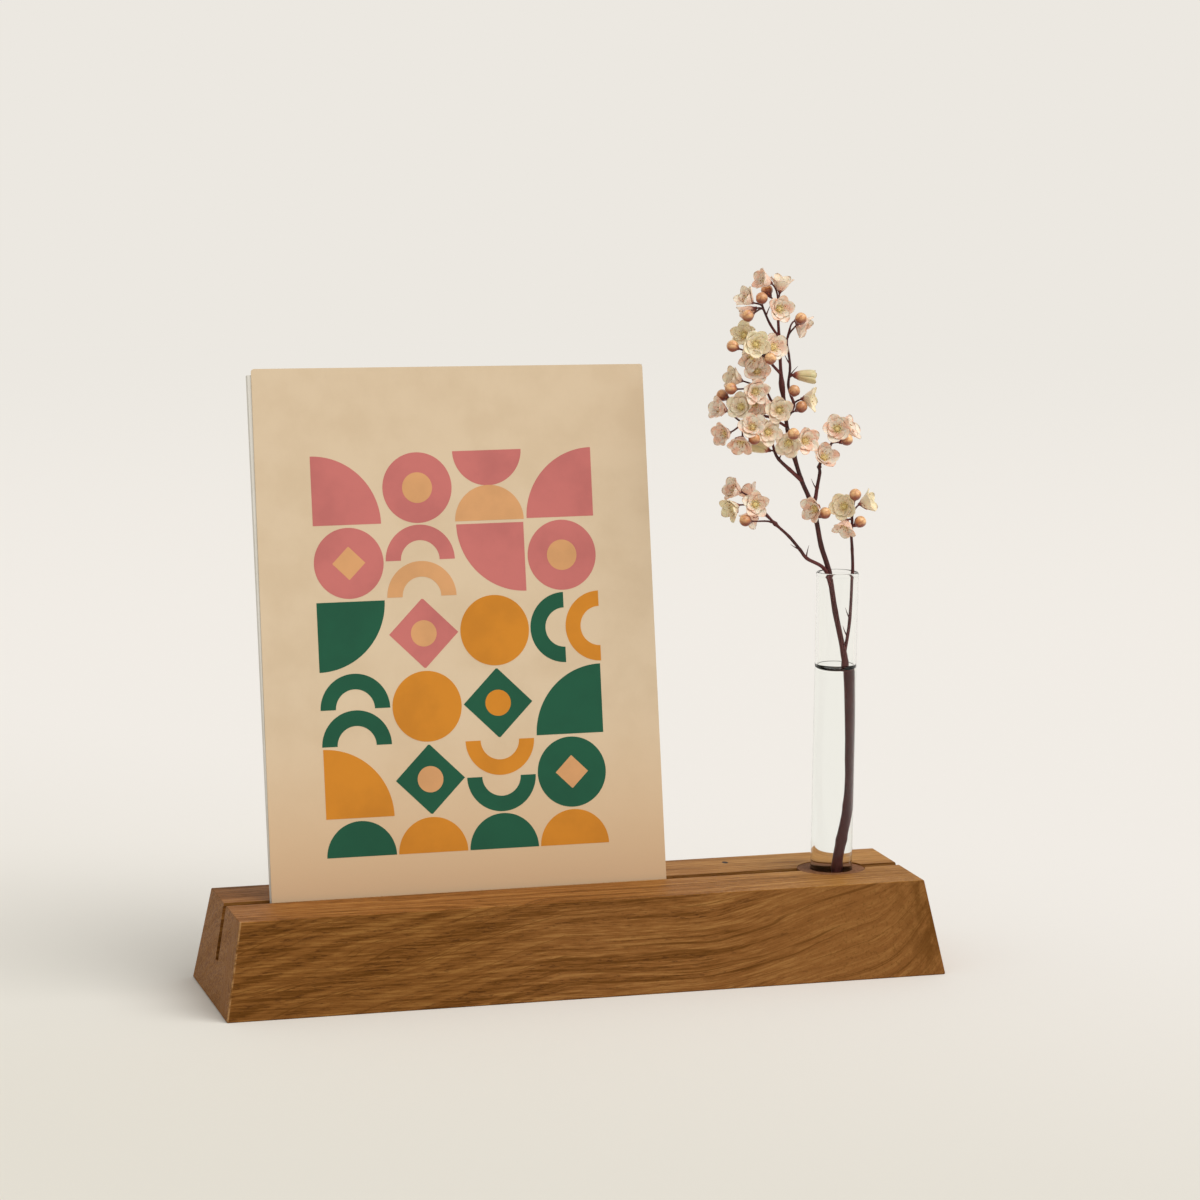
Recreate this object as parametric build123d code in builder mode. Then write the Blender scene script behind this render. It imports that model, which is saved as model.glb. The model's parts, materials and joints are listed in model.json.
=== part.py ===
from build123d import *
import os
from math import atan2, cos, radians, sin

# A photo block: an oak bar with a leaning slot that holds a print against a white board,
# and a bored hole whose bush grips a glass tube of water with a sprig of flowers.
# The origin is the middle of the bar's underside, X runs along the bar and -Y faces the viewer.

# Oak block
block_length = 268.0
block_width = 72.0
block_height = 34.5
block_bevel_deg = 10.5
block_edge_radius = 0.5

# Slot for the cards, open at both ends of the block
slot_width = 5.0
slot_depth = 20.0
slot_lean_deg = 5.5
slot_offset = 0.8

# Print and the board behind it, leaning back as far as the slot lets them
card_width = 148.0
card_height = 210.0
board_thickness = 3.0
print_thickness = 0.3
sheet_gap = 0.05
card_play = 0.1
card_x = -36.8
print_corner_radius = 1.2
print_skew = 1.4
print_rise = 2.2

# Hole, bush and test tube, bored a little off upright so that the tube leans to the right
tube_x = 101.4
tube_y = 0.6
tube_lean_deg = 1.0
tube_length = 130.0
tube_radius = 7.75
tube_wall = 1.0
tube_stand_out = 111.6
rim_height = 1.8
rim_flare = 0.35
bush_radius = 12.6
bush_sink = 0.3
bush_turning_gap = 0.1
tube_sliding_gap = 0.15
tube_seat_gap = 0.2

# Water in the tube
water_below_rim = 35.5
water_film_gap = 0.05
stem_channel_gap = 0.3

# Sprig of flowers
sprig_height = 110.0
stem_root_radius = 1.45
knuckle_share = 1.08
stalk_radius = 0.42
stalk_tip_share = 0.85
stalk_drop_share = 0.4
knob_radius = 0.7
needle_length = 5.0
needle_radius = 0.32
needle_tip_share = 0.25

# Flower, closed bell and bud
blossom_width = 7.6
blossom_length = 6.2
bell_width = 5.4
bell_length = 8.6
bud_width = 4.1
petal_thickness = 0.45
petal_count = 5
flower_foot_radius = 0.8
waist_radius_share = 0.72
waist_height_share = 0.34
notch_depth_share = 0.5
notch_width_share = 0.3

# One overrun serves all cuts that go right through
overrun = 2.0

slot_lean = radians(slot_lean_deg)
tube_lean = radians(tube_lean_deg)

# The stack of board and print stands on its back foot and touches the slot's back lip.
stack_thickness = board_thickness + sheet_gap + print_thickness
stack_swing = atan2(slot_width - 2 * card_play - stack_thickness, slot_depth)
card_lean = slot_lean + stack_swing

slot_frame = Plane(
    origin=(0, slot_offset, block_height),
    x_dir=(1, 0, 0),
    z_dir=(0, sin(slot_lean), cos(slot_lean)),
)
card_foot = slot_frame.from_local_coords(
    (card_x, card_play + stack_thickness * cos(stack_swing) - slot_width / 2, card_play - slot_depth)
)
card_frame = Plane(origin=card_foot, x_dir=(1, 0, 0), z_dir=(0, sin(card_lean), cos(card_lean)))

# The tube's own frame: its origin is where the tube's axis leaves the top of the block.
tube_frame = Plane(
    origin=(tube_x, tube_y, block_height),
    x_dir=(cos(tube_lean), 0, -sin(tube_lean)),
    z_dir=(sin(tube_lean), 0, cos(tube_lean)),
)
rim_frame = tube_frame.offset(tube_stand_out)
tube_sink = tube_length - tube_stand_out
bore_depth = tube_sink + tube_seat_gap
tube_bottom_frame = tube_frame.offset(-tube_sink)
tube_axis = Axis(tube_frame.origin, tube_frame.z_dir)


def tube_section_plane():
    """The plane through the tube's axis, its X outwards and its Y up from the tube's bottom."""
    return Plane(
        origin=tube_bottom_frame.origin,
        x_dir=tube_bottom_frame.x_dir,
        z_dir=-tube_bottom_frame.y_dir,
    )


# Places on the sprig, as shares of its height from the centre of the tube's mouth: right, back, up.
# Each stem has its places from root to tip and its root and tip girth as shares of the main root.
stem_shares = {
    "main_stem": (1.0, 0.32, [
        (0.02, 0, -1.158), (0.015, 0, -1.01), (0.025, 0, -0.915), (0.04, 0, -0.795), (0.043, 0, -0.64),
        (0.035, 0, -0.345), (0.03, 0, -0.285), (-0.005, 0, -0.135), (-0.03, 0, 0), (-0.06, 0, 0.09),
        (-0.08, 0, 0.18), (-0.105, 0, 0.25), (-0.135, 0, 0.315), (-0.165, 0, 0.405), (-0.185, 0, 0.475),
        (-0.2, 0, 0.575), (-0.21, 0, 0.64), (-0.217, 0, 0.725), (-0.222, 0, 0.795), (-0.226, 0, 0.85),
        (-0.225, 0.005, 0.915),
    ]),
    "right_stem": (0.46, 0.32, [
        (0.03, 0, -0.285), (0.048, 0, -0.165), (0.0535, 0, -0.005), (0.05, 0, 0.075), (0.046, 0, 0.125),
        (0.048, 0, 0.17), (0.045, 0, 0.2),
    ]),
    "lower_left_branch": (0.5, 0.34, [
        (-0.019, 0, -0.06), (-0.05, -0.01, 0.012), (-0.115, -0.02, 0.05), (-0.14, -0.02, 0.08),
        (-0.18, -0.025, 0.125), (-0.225, -0.025, 0.165), (-0.262, -0.025, 0.2),
    ]),
    "left_branch": (0.55, 0.3, [
        (-0.132, 0, 0.31), (-0.18, -0.01, 0.35), (-0.22, -0.02, 0.385), (-0.235, -0.02, 0.41),
        (-0.245, -0.015, 0.45),
    ]),
    "right_branch": (0.55, 0.3, [
        (-0.093, 0, 0.22), (-0.08, 0.01, 0.25), (-0.075, 0.01, 0.285), (-0.07, 0, 0.335), (-0.07, 0, 0.365),
        (-0.04, -0.01, 0.425), (-0.025, -0.01, 0.45),
    ]),
    "upper_right_twig": (0.42, 0.26, [
        (-0.191, 0, 0.515), (-0.163, 0.01, 0.56), (-0.17, 0.02, 0.595), (-0.18, 0.02, 0.63),
        (-0.175, 0.02, 0.685), (-0.18, 0.02, 0.73), (-0.188, 0.02, 0.775), (-0.178, 0.02, 0.82),
    ]),
    "upper_left_twig": (0.36, 0.24, [
        (-0.222, 0, 0.79), (-0.255, -0.005, 0.835), (-0.277, -0.005, 0.88), (-0.292, 0, 0.92),
    ]),
    "shoulder_twig": (0.4, 0.28, [
        (-0.214, 0, 0.67), (-0.25, -0.01, 0.705), (-0.272, -0.015, 0.74),
    ]),
    "mid_left_twig": (0.36, 0.28, [
        (-0.194, 0, 0.54), (-0.24, 0, 0.575), (-0.265, -0.01, 0.61), (-0.305, -0.01, 0.64),
    ]),
    "left_twig": (0.36, 0.28, [
        (-0.186, 0, 0.49), (-0.25, -0.01, 0.525), (-0.295, -0.01, 0.53), (-0.34, -0.015, 0.515),
        (-0.36, -0.02, 0.5),
    ]),
}

# Where each open flower's middle is and which way it faces, with the stem that it grows on.
blossom_shares = {
    "crown": ("main_stem", [
        ((-0.285, -0.01, 0.982), (-0.9, -0.2, 0.3)),
        ((-0.214, 0.01, 0.972), (0.1, -0.2, 1)),
        ((-0.235, -0.06, 0.89), (0.1, -1, 0.1)),
    ]),
    "upper_left": ("upper_left_twig", [
        ((-0.35, -0.03, 0.925), (-0.8, -0.3, 0.5)),
        ((-0.325, 0.03, 0.87), (-0.8, 0.3, -0.5)),
    ]),
    "upper_right": ("upper_right_twig", [
        ((-0.125, 0.035, 0.825), (0.7, -0.5, -0.5)),
    ]),
    "shoulder": ("shoulder_twig", [
        ((-0.355, -0.025, 0.805), (-0.5, -0.8, 0.3)),
        ((-0.325, -0.085, 0.775), (-0.1, -1, 0)),
        ((-0.25, -0.06, 0.765), (0.3, -0.9, 0.2)),
        ((-0.3, 0.03, 0.72), (-0.7, -0.3, -0.5)),
    ]),
    "mid_left": ("mid_left_twig", [
        ((-0.315, -0.06, 0.69), (-0.2, -0.9, 0.4)),
        ((-0.385, -0.025, 0.66), (-0.9, -0.2, 0.3)),
        ((-0.33, -0.11, 0.62), (0, -1, -0.1)),
        ((-0.305, 0.05, 0.585), (-0.8, 0.2, 0.3)),
    ]),
    "mid_right": ("upper_right_twig", [
        ((-0.11, -0.02, 0.585), (0.85, -0.5, 0)),
    ]),
    "left": ("left_twig", [
        ((-0.235, -0.06, 0.555), (-0.3, -0.95, 0.1)),
        ((-0.425, 0.01, 0.555), (-0.95, -0.2, 0.25)),
        ((-0.375, -0.065, 0.57), (-0.6, -0.7, 0.3)),
        ((-0.425, -0.04, 0.475), (-0.9, -0.4, -0.1)),
        ((-0.34, -0.1, 0.51), (-0.3, -0.8, 0.5)),
        ((-0.365, -0.05, 0.44), (-0.4, -0.6, -0.7)),
    ]),
    "left_branch": ("left_branch", [
        ((-0.27, -0.065, 0.483), (0, -1, 0.1)),
    ]),
    "centre": ("main_stem", [
        ((-0.2, -0.055, 0.44), (-0.4, -0.9, -0.2)),
        ((-0.13, -0.045, 0.45), (0.2, -1, 0.1)),
    ]),
    "right": ("right_branch", [
        ((-0.03, -0.05, 0.49), (-0.4, -0.9, 0.2)),
        ((0.045, 0.015, 0.485), (0.7, -0.5, 0.5)),
        ((-0.063, -0.04, 0.4), (0.1, -0.8, 0.6)),
    ]),
    "lower_left": ("lower_left_branch", [
        ((-0.37, 0.01, 0.285), (-0.9, -0.2, 0.3)),
        ((-0.39, -0.04, 0.225), (-0.85, -0.4, -0.3)),
        ((-0.315, -0.08, 0.245), (-0.1, -1, 0.2)),
        ((-0.3, 0.02, 0.185), (-0.5, 0.3, -0.8)),
        ((-0.298, 0.06, 0.265), (-0.4, 0.5, 0.75)),
    ]),
    "lower_centre": ("main_stem", [
        ((-0.115, -0.06, 0.22), (-0.8, -0.5, -0.1)),
    ]),
    "lower_right": ("right_stem", [
        ((0, -0.04, 0.225), (-0.6, -0.8, 0.1)),
        ((0.105, 0, 0.235), (0.8, -0.5, 0.3)),
        ((0.01, -0.035, 0.15), (-0.4, -0.5, -0.8)),
    ]),
}

# Closed bells, placed and turned the same way.
bell_shares = {
    "mid_right": ("upper_right_twig", [
        ((-0.12, 0.02, 0.66), (1, 0, -0.05)),
    ]),
    "left_branch": ("left_branch", [
        ((-0.29, 0, 0.43), (-0.9, 0.15, 0.35)),
    ]),
}

# Round buds, each with the stem that its stalk grows on.
bud_shares = {
    "crown": ("main_stem", [(-0.255, 0.04, 0.945)]),
    "upper_left": ("upper_left_twig", [(-0.35, -0.06, 0.868), (-0.3, -0.05, 0.925)]),
    "upper_right": ("upper_right_twig", [(-0.155, -0.025, 0.855)]),
    "shoulder": ("shoulder_twig", [(-0.405, -0.075, 0.77), (-0.285, -0.11, 0.73)]),
    "mid_left": ("mid_left_twig", [(-0.41, -0.08, 0.63)]),
    "mid_right": ("upper_right_twig", [(-0.175, -0.03, 0.615), (-0.152, -0.04, 0.562)]),
    "left": ("left_twig", [(-0.32, -0.06, 0.46), (-0.4, 0.05, 0.595)]),
    "centre": ("main_stem", [(-0.2, -0.11, 0.48)]),
    "right": ("right_branch", [(0.01, -0.04, 0.45)]),
    "lower_left": ("lower_left_branch", [(-0.35, -0.075, 0.19)]),
    "lower_centre": ("main_stem", [(-0.058, -0.028, 0.203)]),
    "lower_right": ("right_stem", [(0.03, -0.08, 0.27), (0.07, -0.02, 0.17)]),
}

# Needles: the stem, how far along it the needle grows and which way it points.
needle_shares = [
    ("main_stem", 0.375, (0.5, -0.3, 1)),
    ("main_stem", 0.39, (0.35, 0.2, 1)),
    ("main_stem", 0.49, (-0.2, -0.4, 1)),
    ("main_stem", 0.56, (-0.5, -0.2, 1)),
    ("lower_left_branch", 0.35, (0.1, -0.3, 1)),
    ("lower_left_branch", 0.5, (-0.9, -0.3, 0.5)),
    ("lower_left_branch", 0.86, (-1, -0.3, 0.35)),
    ("right_branch", 0.3, (-0.6, -0.2, 1)),
    ("upper_right_twig", 0.5, (0.7, -0.2, 0.9)),
    ("upper_right_twig", 0.62, (-0.5, -0.2, 0.8)),
    ("left_branch", 0.5, (0.6, 0.3, 0.9)),
    ("upper_left_twig", 0.55, (0.5, 0.3, 0.9)),
]


def sprig_point(shares):
    """A point of the sprig from its shares of the sprig's height."""
    return rim_frame.from_local_coords(Vector(*shares) * sprig_height)


def sprig_direction(shares):
    """A unit direction given along the tube's own right, back and up."""
    turned = rim_frame.from_local_coords(Vector(*shares)) - rim_frame.origin
    return turned.normalized()


stem_points = {name: [sprig_point(p) for p in row[2]] for name, row in stem_shares.items()}


def stalk_root(stem, target):
    """The point of a stem's centre line that a stalk to the target grows from."""
    nearest_gap = None
    root = None
    for start, end in zip(stem_points[stem], stem_points[stem][1:]):
        run = end - start
        along = max(0.0, min(1.0, (target - start).dot(run) / run.dot(run)))
        gap = (target - (start + run * along)).length
        if nearest_gap is None or gap < nearest_gap:
            nearest_gap = gap
            root = start + run * (along - min(along, stalk_drop_share * gap / run.length))
    return root


def point_along(points, share):
    """The point at a share of the number of runs along a stem's centre line."""
    place = share * (len(points) - 1)
    index = int(place)
    return points[index] + (points[index + 1] - points[index]) * (place - index)


def stem_run(start, end, start_radius, end_radius, ball_radius):
    """A round run of stem that tapers from one point to another and ends in a ball."""
    length = (end - start).length
    with BuildPart(Plane(origin=start, z_dir=end - start)) as run:
        Cone(start_radius, end_radius, length, align=(Align.CENTER, Align.CENTER, Align.MIN))
        with Locations((0, 0, length)):
            Sphere(ball_radius)
    return run.part


def flower_places():
    """Every flower and bud as its group, stem, knob centre, foot, facing and kind."""
    rows = []
    for table, length, kind in ((blossom_shares, blossom_length, "blossoms"), (bell_shares, bell_length, "bells")):
        for group, (stem, flowers) in table.items():
            for place, facing in flowers:
                direction = sprig_direction(facing)
                foot = sprig_point(place) - direction * (length / 2)
                rows.append((group, stem, foot - direction * knob_radius, foot, direction, kind))
    for group, (stem, buds) in bud_shares.items():
        for place in buds:
            middle = sprig_point(place)
            direction = (middle - stalk_root(stem, middle)).normalized()
            foot = middle - direction * (bud_width / 2)
            rows.append((group, stem, foot - direction * knob_radius, foot, direction, "buds"))
    return rows


flowers = flower_places()


def make_stem(name):
    """A stem with its stalks, knobs and needles in one piece, cut back where it leaves the main stem."""
    root_share, tip_share, _ = stem_shares[name]
    points = stem_points[name]
    step = (root_share - tip_share) / (len(points) - 1)
    girths = [stem_root_radius * (root_share - step * index) for index in range(len(points))]
    pieces = []
    for index in range(len(points) - 1):
        thick, thin = girths[index], girths[index + 1]
        pieces.append(stem_run(points[index], points[index + 1], thick, thin, thin * knuckle_share))
    for group, grown_on, knob, foot, direction, kind in flowers:
        if grown_on == name:
            root = stalk_root(name, knob)
            pieces.append(stem_run(root, knob, stalk_radius, stalk_radius * stalk_tip_share, knob_radius))
    for grown_on, share, pointing in needle_shares:
        if grown_on == name:
            start = point_along(points, share)
            tip = start + sprig_direction(pointing) * needle_length
            blunt = needle_radius * needle_tip_share
            pieces.append(stem_run(start, tip, needle_radius, blunt, blunt * knuckle_share))
    with BuildPart() as stem:
        add(pieces)
        if name != "main_stem":
            add(stems["main_stem"].part, mode=Mode.SUBTRACT)
    stem.part.label = name
    return stem


def make_flower(width, length):
    """A bell of petals with notches between them, standing on its foot along Z."""
    radius = width / 2
    waist = radius * waist_radius_share
    waist_height = length * waist_height_share
    with BuildPart() as flower:
        with BuildSketch(Plane.XZ):
            with BuildLine():
                Polyline(
                    (0, 0),
                    (flower_foot_radius, 0),
                    (waist, waist_height),
                    (radius, length),
                    (radius - petal_thickness, length),
                    (waist - petal_thickness, waist_height + petal_thickness),
                    (0, 2 * petal_thickness),
                    close=True,
                )
            make_face()
        revolve(axis=Axis.Z)
        for index in range(petal_count):
            with BuildSketch(Plane.YZ.rotated((0, 0, 360 / petal_count * index))):
                with BuildLine():
                    Polyline(
                        (0, length * (1 - notch_depth_share)),
                        (width * notch_width_share / 2, length + petal_thickness),
                        (-width * notch_width_share / 2, length + petal_thickness),
                        close=True,
                    )
                make_face()
            extrude(amount=radius + overrun, mode=Mode.SUBTRACT)
    return flower


def make_bud():
    """A round bud standing on its foot along Z."""
    with BuildPart() as bud:
        with Locations((0, 0, bud_width / 2)):
            Sphere(bud_width / 2)
    return bud


os.makedirs("parts", exist_ok=True)

# The block, with its slot and its bore
with BuildPart() as block:
    with BuildSketch():
        Rectangle(block_length, block_width)
    extrude(amount=block_height, taper=block_bevel_deg)
    fillet(block.edges(), radius=block_edge_radius)
    with BuildSketch(slot_frame.offset(-slot_depth)):
        Rectangle(block_length + overrun, slot_width)
    extrude(amount=slot_depth + overrun, mode=Mode.SUBTRACT)
    with BuildSketch(tube_frame.offset(-bore_depth)):
        Circle(bush_radius + bush_turning_gap)
    extrude(amount=bore_depth + overrun, mode=Mode.SUBTRACT)
block.part.label = "block"
export_step(block.part, "parts/block.step")

# The bush that fills the bore round the tube
with BuildPart() as tube_bush:
    with BuildSketch(tube_frame.offset(-bore_depth)):
        Circle(bush_radius)
        Circle(tube_radius + tube_sliding_gap, mode=Mode.SUBTRACT)
    extrude(amount=bore_depth - bush_sink)
tube_bush.part.label = "tube_bush"
export_step(tube_bush.part, "parts/tube_bush.step")

# The glass tube, round at the bottom and flared at the rim
tube_bore_radius = tube_radius - tube_wall
with BuildPart() as glass_tube:
    with BuildSketch(tube_section_plane()):
        with BuildLine():
            JernArc((0, 0), (1, 0), tube_radius, 90)
            Line((tube_radius, tube_radius), (tube_radius, tube_length - rim_height))
            ThreePointArc(
                (tube_radius, tube_length - rim_height),
                (tube_radius + rim_flare, tube_length - rim_height / 2),
                (tube_radius - tube_wall / 2, tube_length),
            )
            Line((tube_radius - tube_wall / 2, tube_length), (tube_bore_radius, tube_length - tube_wall / 2))
            Line((tube_bore_radius, tube_length - tube_wall / 2), (tube_bore_radius, tube_radius))
            JernArc((tube_bore_radius, tube_radius), (0, -1), tube_bore_radius, -90)
            Line((0, tube_wall), (0, 0))
        make_face()
    revolve(axis=tube_axis)
glass_tube.part.label = "glass_tube"
export_step(glass_tube.part, "parts/glass_tube.step")

# The water, with a channel where the main stem stands in it
water_radius = tube_bore_radius - water_film_gap
water_height = tube_length - water_below_rim
with BuildPart() as water:
    with BuildSketch(tube_section_plane()):
        with BuildLine():
            JernArc((0, tube_wall + water_film_gap), (1, 0), water_radius, 90)
            Line((water_radius, tube_radius), (water_radius, water_height))
            Line((water_radius, water_height), (0, water_height))
            Line((0, water_height), (0, tube_wall + water_film_gap))
        make_face()
    revolve(axis=tube_axis)
    channel_radius = stem_root_radius + stem_channel_gap
    wet_points = [point for point in stem_points["main_stem"] if rim_frame.to_local_coords(point).Z < 0]
    with Locations(wet_points[0]):
        Sphere(channel_radius, mode=Mode.SUBTRACT)
    for start, end in zip(wet_points, wet_points[1:]):
        with Locations(Plane(origin=start, z_dir=end - start)):
            Cylinder(
                channel_radius,
                (end - start).length,
                align=(Align.CENTER, Align.CENTER, Align.MIN),
                mode=Mode.SUBTRACT,
            )
        with Locations(end):
            Sphere(channel_radius, mode=Mode.SUBTRACT)
water.part.label = "water"
export_step(water.part, "parts/water.step")

# The white board that stands in the slot
with BuildPart() as backing_board:
    with BuildSketch(card_frame):
        with Locations((0, -board_thickness / 2)):
            Rectangle(card_width, board_thickness)
    extrude(amount=card_height)
backing_board.part.label = "backing_board"
export_step(backing_board.part, "parts/backing_board.step")

# The print in front of it, cut a little out of square at its top left corner
print_face = Plane(
    origin=card_frame.from_local_coords((0, -board_thickness - sheet_gap, 0)),
    x_dir=(1, 0, 0),
    z_dir=-card_frame.y_dir,
)
with BuildPart() as front_print:
    with BuildSketch(print_face) as print_outline:
        with BuildLine():
            Polyline(
                (-card_width / 2, 0),
                (card_width / 2, 0),
                (card_width / 2, card_height),
                (-card_width / 2 + print_skew, card_height + print_rise),
                close=True,
            )
        make_face()
        fillet(print_outline.vertices(), radius=print_corner_radius)
    extrude(amount=print_thickness)
front_print.part.label = "front_print"
export_step(front_print.part, "parts/front_print.step")

# The stems, the main one first because the others are cut back against it
stems = {}
for stem_name in stem_shares:
    stems[stem_name] = make_stem(stem_name)
    export_step(stems[stem_name].part, f"parts/{stem_name}.step")

# The flowers and buds, one group of separate solids for each branch
flower_units = {
    "blossoms": make_flower(blossom_width, blossom_length),
    "bells": make_flower(bell_width, bell_length),
    "buds": make_bud(),
}
for kind in flower_units:
    groups = sorted({row[0] for row in flowers if row[5] == kind})
    for group in groups:
        node_name = f"{group}_{kind}"
        with BuildPart() as flower_group:
            for row in flowers:
                if row[0] == group and row[5] == kind:
                    with Locations(Plane(origin=row[3], z_dir=row[4])):
                        add(flower_units[kind].part)
        flower_group.part.label = node_name
        export_step(flower_group.part, f"parts/{node_name}.step")
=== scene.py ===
"""Looks of the oak photo block with its print, its glass tube and its sprig of flowers.

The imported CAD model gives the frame. Pieces whose CAD shape is right keep it and get a
finish here; the glass, the water, the stems, the flowers and the buds are modelled anew
around the same places. All lengths are in metres unless a name says otherwise.
"""

from __future__ import annotations

import json
import logging
from dataclasses import dataclass, field, replace
from enum import Enum
from math import cos, pi, radians, sin, tan

import bmesh
import bpy
import numpy as np
from mathutils import Matrix, Vector

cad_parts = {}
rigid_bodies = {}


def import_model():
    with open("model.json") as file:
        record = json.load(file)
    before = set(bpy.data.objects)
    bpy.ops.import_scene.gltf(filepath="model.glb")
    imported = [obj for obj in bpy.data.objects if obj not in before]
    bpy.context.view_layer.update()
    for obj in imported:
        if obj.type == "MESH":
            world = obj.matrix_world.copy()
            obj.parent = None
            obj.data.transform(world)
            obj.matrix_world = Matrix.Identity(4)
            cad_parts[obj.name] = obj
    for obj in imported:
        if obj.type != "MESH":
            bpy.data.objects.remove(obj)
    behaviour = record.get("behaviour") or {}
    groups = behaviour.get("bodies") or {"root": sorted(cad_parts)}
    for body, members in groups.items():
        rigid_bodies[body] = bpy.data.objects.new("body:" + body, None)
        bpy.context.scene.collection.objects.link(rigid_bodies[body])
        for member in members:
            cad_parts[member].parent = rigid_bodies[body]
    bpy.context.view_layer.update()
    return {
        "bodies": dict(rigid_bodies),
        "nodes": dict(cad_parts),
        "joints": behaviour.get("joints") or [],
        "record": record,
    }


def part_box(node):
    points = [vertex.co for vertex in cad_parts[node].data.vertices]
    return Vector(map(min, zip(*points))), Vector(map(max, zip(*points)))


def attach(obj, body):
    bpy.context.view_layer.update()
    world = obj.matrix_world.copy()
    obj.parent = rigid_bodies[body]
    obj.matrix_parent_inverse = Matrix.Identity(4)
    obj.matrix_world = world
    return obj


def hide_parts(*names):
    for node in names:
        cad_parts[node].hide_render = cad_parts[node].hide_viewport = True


log = logging.getLogger("photo_block")

MM = 0.001

# Directions that the crosswise ones are worked out from; no stem and no flower points along them.
OFF_STEM = np.array([0.31, 1.0, 0.17])
OFF_FLOWER = np.array([0.2, 0.3, 0.93])

# How far the blunt tip of a tube stands out, as a share of its radius there.
TIP_BULGE = 0.6


# ---------------------------------------------------------------- frames and meshes


@dataclass(frozen=True)
class LocalFrame:
    """A place with its own right, back and up directions, in metres."""

    origin: np.ndarray
    right: np.ndarray
    back: np.ndarray
    up: np.ndarray

    def world(self, points: np.ndarray) -> np.ndarray:
        """The same points in the shared frame, where their last axis is right, back and up here."""
        return self.origin + points @ np.stack([self.right, self.back, self.up])

    def turned(self, direction: np.ndarray) -> np.ndarray:
        """Turns a local direction into a unit direction of the shared frame."""
        return unit(direction @ np.stack([self.right, self.back, self.up]))

    def spun(self, angle: float) -> LocalFrame:
        """The same frame turned about its own up direction."""
        right = self.right * cos(angle) + self.back * sin(angle)
        return replace(self, right=right, back=self.back * cos(angle) - self.right * sin(angle))

    def raised(self, distance: float) -> LocalFrame:
        """The same frame moved along its own up direction."""
        return replace(self, origin=self.origin + self.up * distance)


@dataclass
class Shape:
    """Vertices, faces and per-vertex values of a mesh under construction."""

    verts: np.ndarray
    quads: np.ndarray
    tris: np.ndarray
    values: dict[str, np.ndarray] = field(default_factory=dict)

    @staticmethod
    def joined(shapes: list[Shape]) -> Shape:
        """Puts several shapes into one.

        Args:
            shapes: Shapes that carry the same named values.

        Returns:
            One shape with every vertex and face of the others.
        """
        starts = np.cumsum([0] + [len(s.verts) for s in shapes[:-1]])
        return Shape(
            np.concatenate([s.verts for s in shapes]),
            np.concatenate([s.quads + n for s, n in zip(shapes, starts)]),
            np.concatenate([s.tris + n for s, n in zip(shapes, starts)]),
            {k: np.concatenate([s.values[k] for s in shapes]) for k in shapes[0].values},
        )

    def with_value(self, name: str, value: float | np.ndarray) -> Shape:
        """Adds a named value, one number or one for each vertex, and returns the shape."""
        self.values[name] = np.broadcast_to(value, len(self.verts)).astype(np.float32)
        return self

    def to_object(self, name: str, material: bpy.types.Material, smooth: bool = True) -> bpy.types.Object:
        """Makes the Blender object with its faces turned outwards.

        Args:
            name: Name of the object and its mesh.
            material: Finish of every face.
            smooth: Whether the faces are shaded smooth.

        Returns:
            The new object, linked to the scene.
        """
        mesh = bpy.data.meshes.new(name)
        mesh.vertices.add(len(self.verts))
        mesh.vertices.foreach_set("co", self.verts.astype(np.float32).ravel())
        corners = np.concatenate([self.quads.ravel(), self.tris.ravel()]).astype(np.int32)
        sizes = np.concatenate([np.full(len(self.quads), 4), np.full(len(self.tris), 3)])
        starts = np.concatenate([[0], np.cumsum(sizes)[:-1]])
        mesh.loops.add(len(corners))
        mesh.loops.foreach_set("vertex_index", corners)
        mesh.polygons.add(len(sizes))
        mesh.polygons.foreach_set("loop_start", starts.astype(np.int32))
        mesh.polygons.foreach_set("loop_total", sizes.astype(np.int32))
        mesh.update(calc_edges=True)
        for key, data in self.values.items():
            mesh.attributes.new(key, "FLOAT", "POINT").data.foreach_set("value", data)
        work = bmesh.new()
        work.from_mesh(mesh)
        bmesh.ops.recalc_face_normals(work, faces=work.faces)
        work.to_mesh(mesh)
        work.free()
        mesh.polygons.foreach_set("use_smooth", np.full(len(sizes), smooth))
        mesh.materials.append(material)
        return linked(name, mesh)


def linked(name: str, data: bpy.types.ID) -> bpy.types.Object:
    """Makes an object and links it to the scene.

    Args:
        name: Name of the object.
        data: Its mesh, camera or lamp.

    Returns:
        The new object.
    """
    made = bpy.data.objects.new(name, data)
    bpy.context.scene.collection.objects.link(made)
    return made


def unit(vectors: np.ndarray) -> np.ndarray:
    """Scales vectors along the last axis to length one."""
    return vectors / np.maximum(np.linalg.norm(vectors, axis=-1, keepdims=True), 1e-12)


def grid_quads(rows: int, columns: int, closed: bool) -> np.ndarray:
    """Faces between the neighbouring rows of a grid of vertices.

    Args:
        rows: How many rows there are.
        columns: How many vertices each row has.
        closed: Whether the last vertex of a row meets its first one.

    Returns:
        One row of four vertex numbers for each face.
    """
    i, j = np.meshgrid(np.arange(rows - 1), np.arange(columns - (not closed)), indexing="ij")
    low, k = i * columns, (j + 1) % columns
    high = low + columns
    return np.stack([low + j, low + k, high + k, high + j], -1).reshape(-1, 4)


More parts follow.
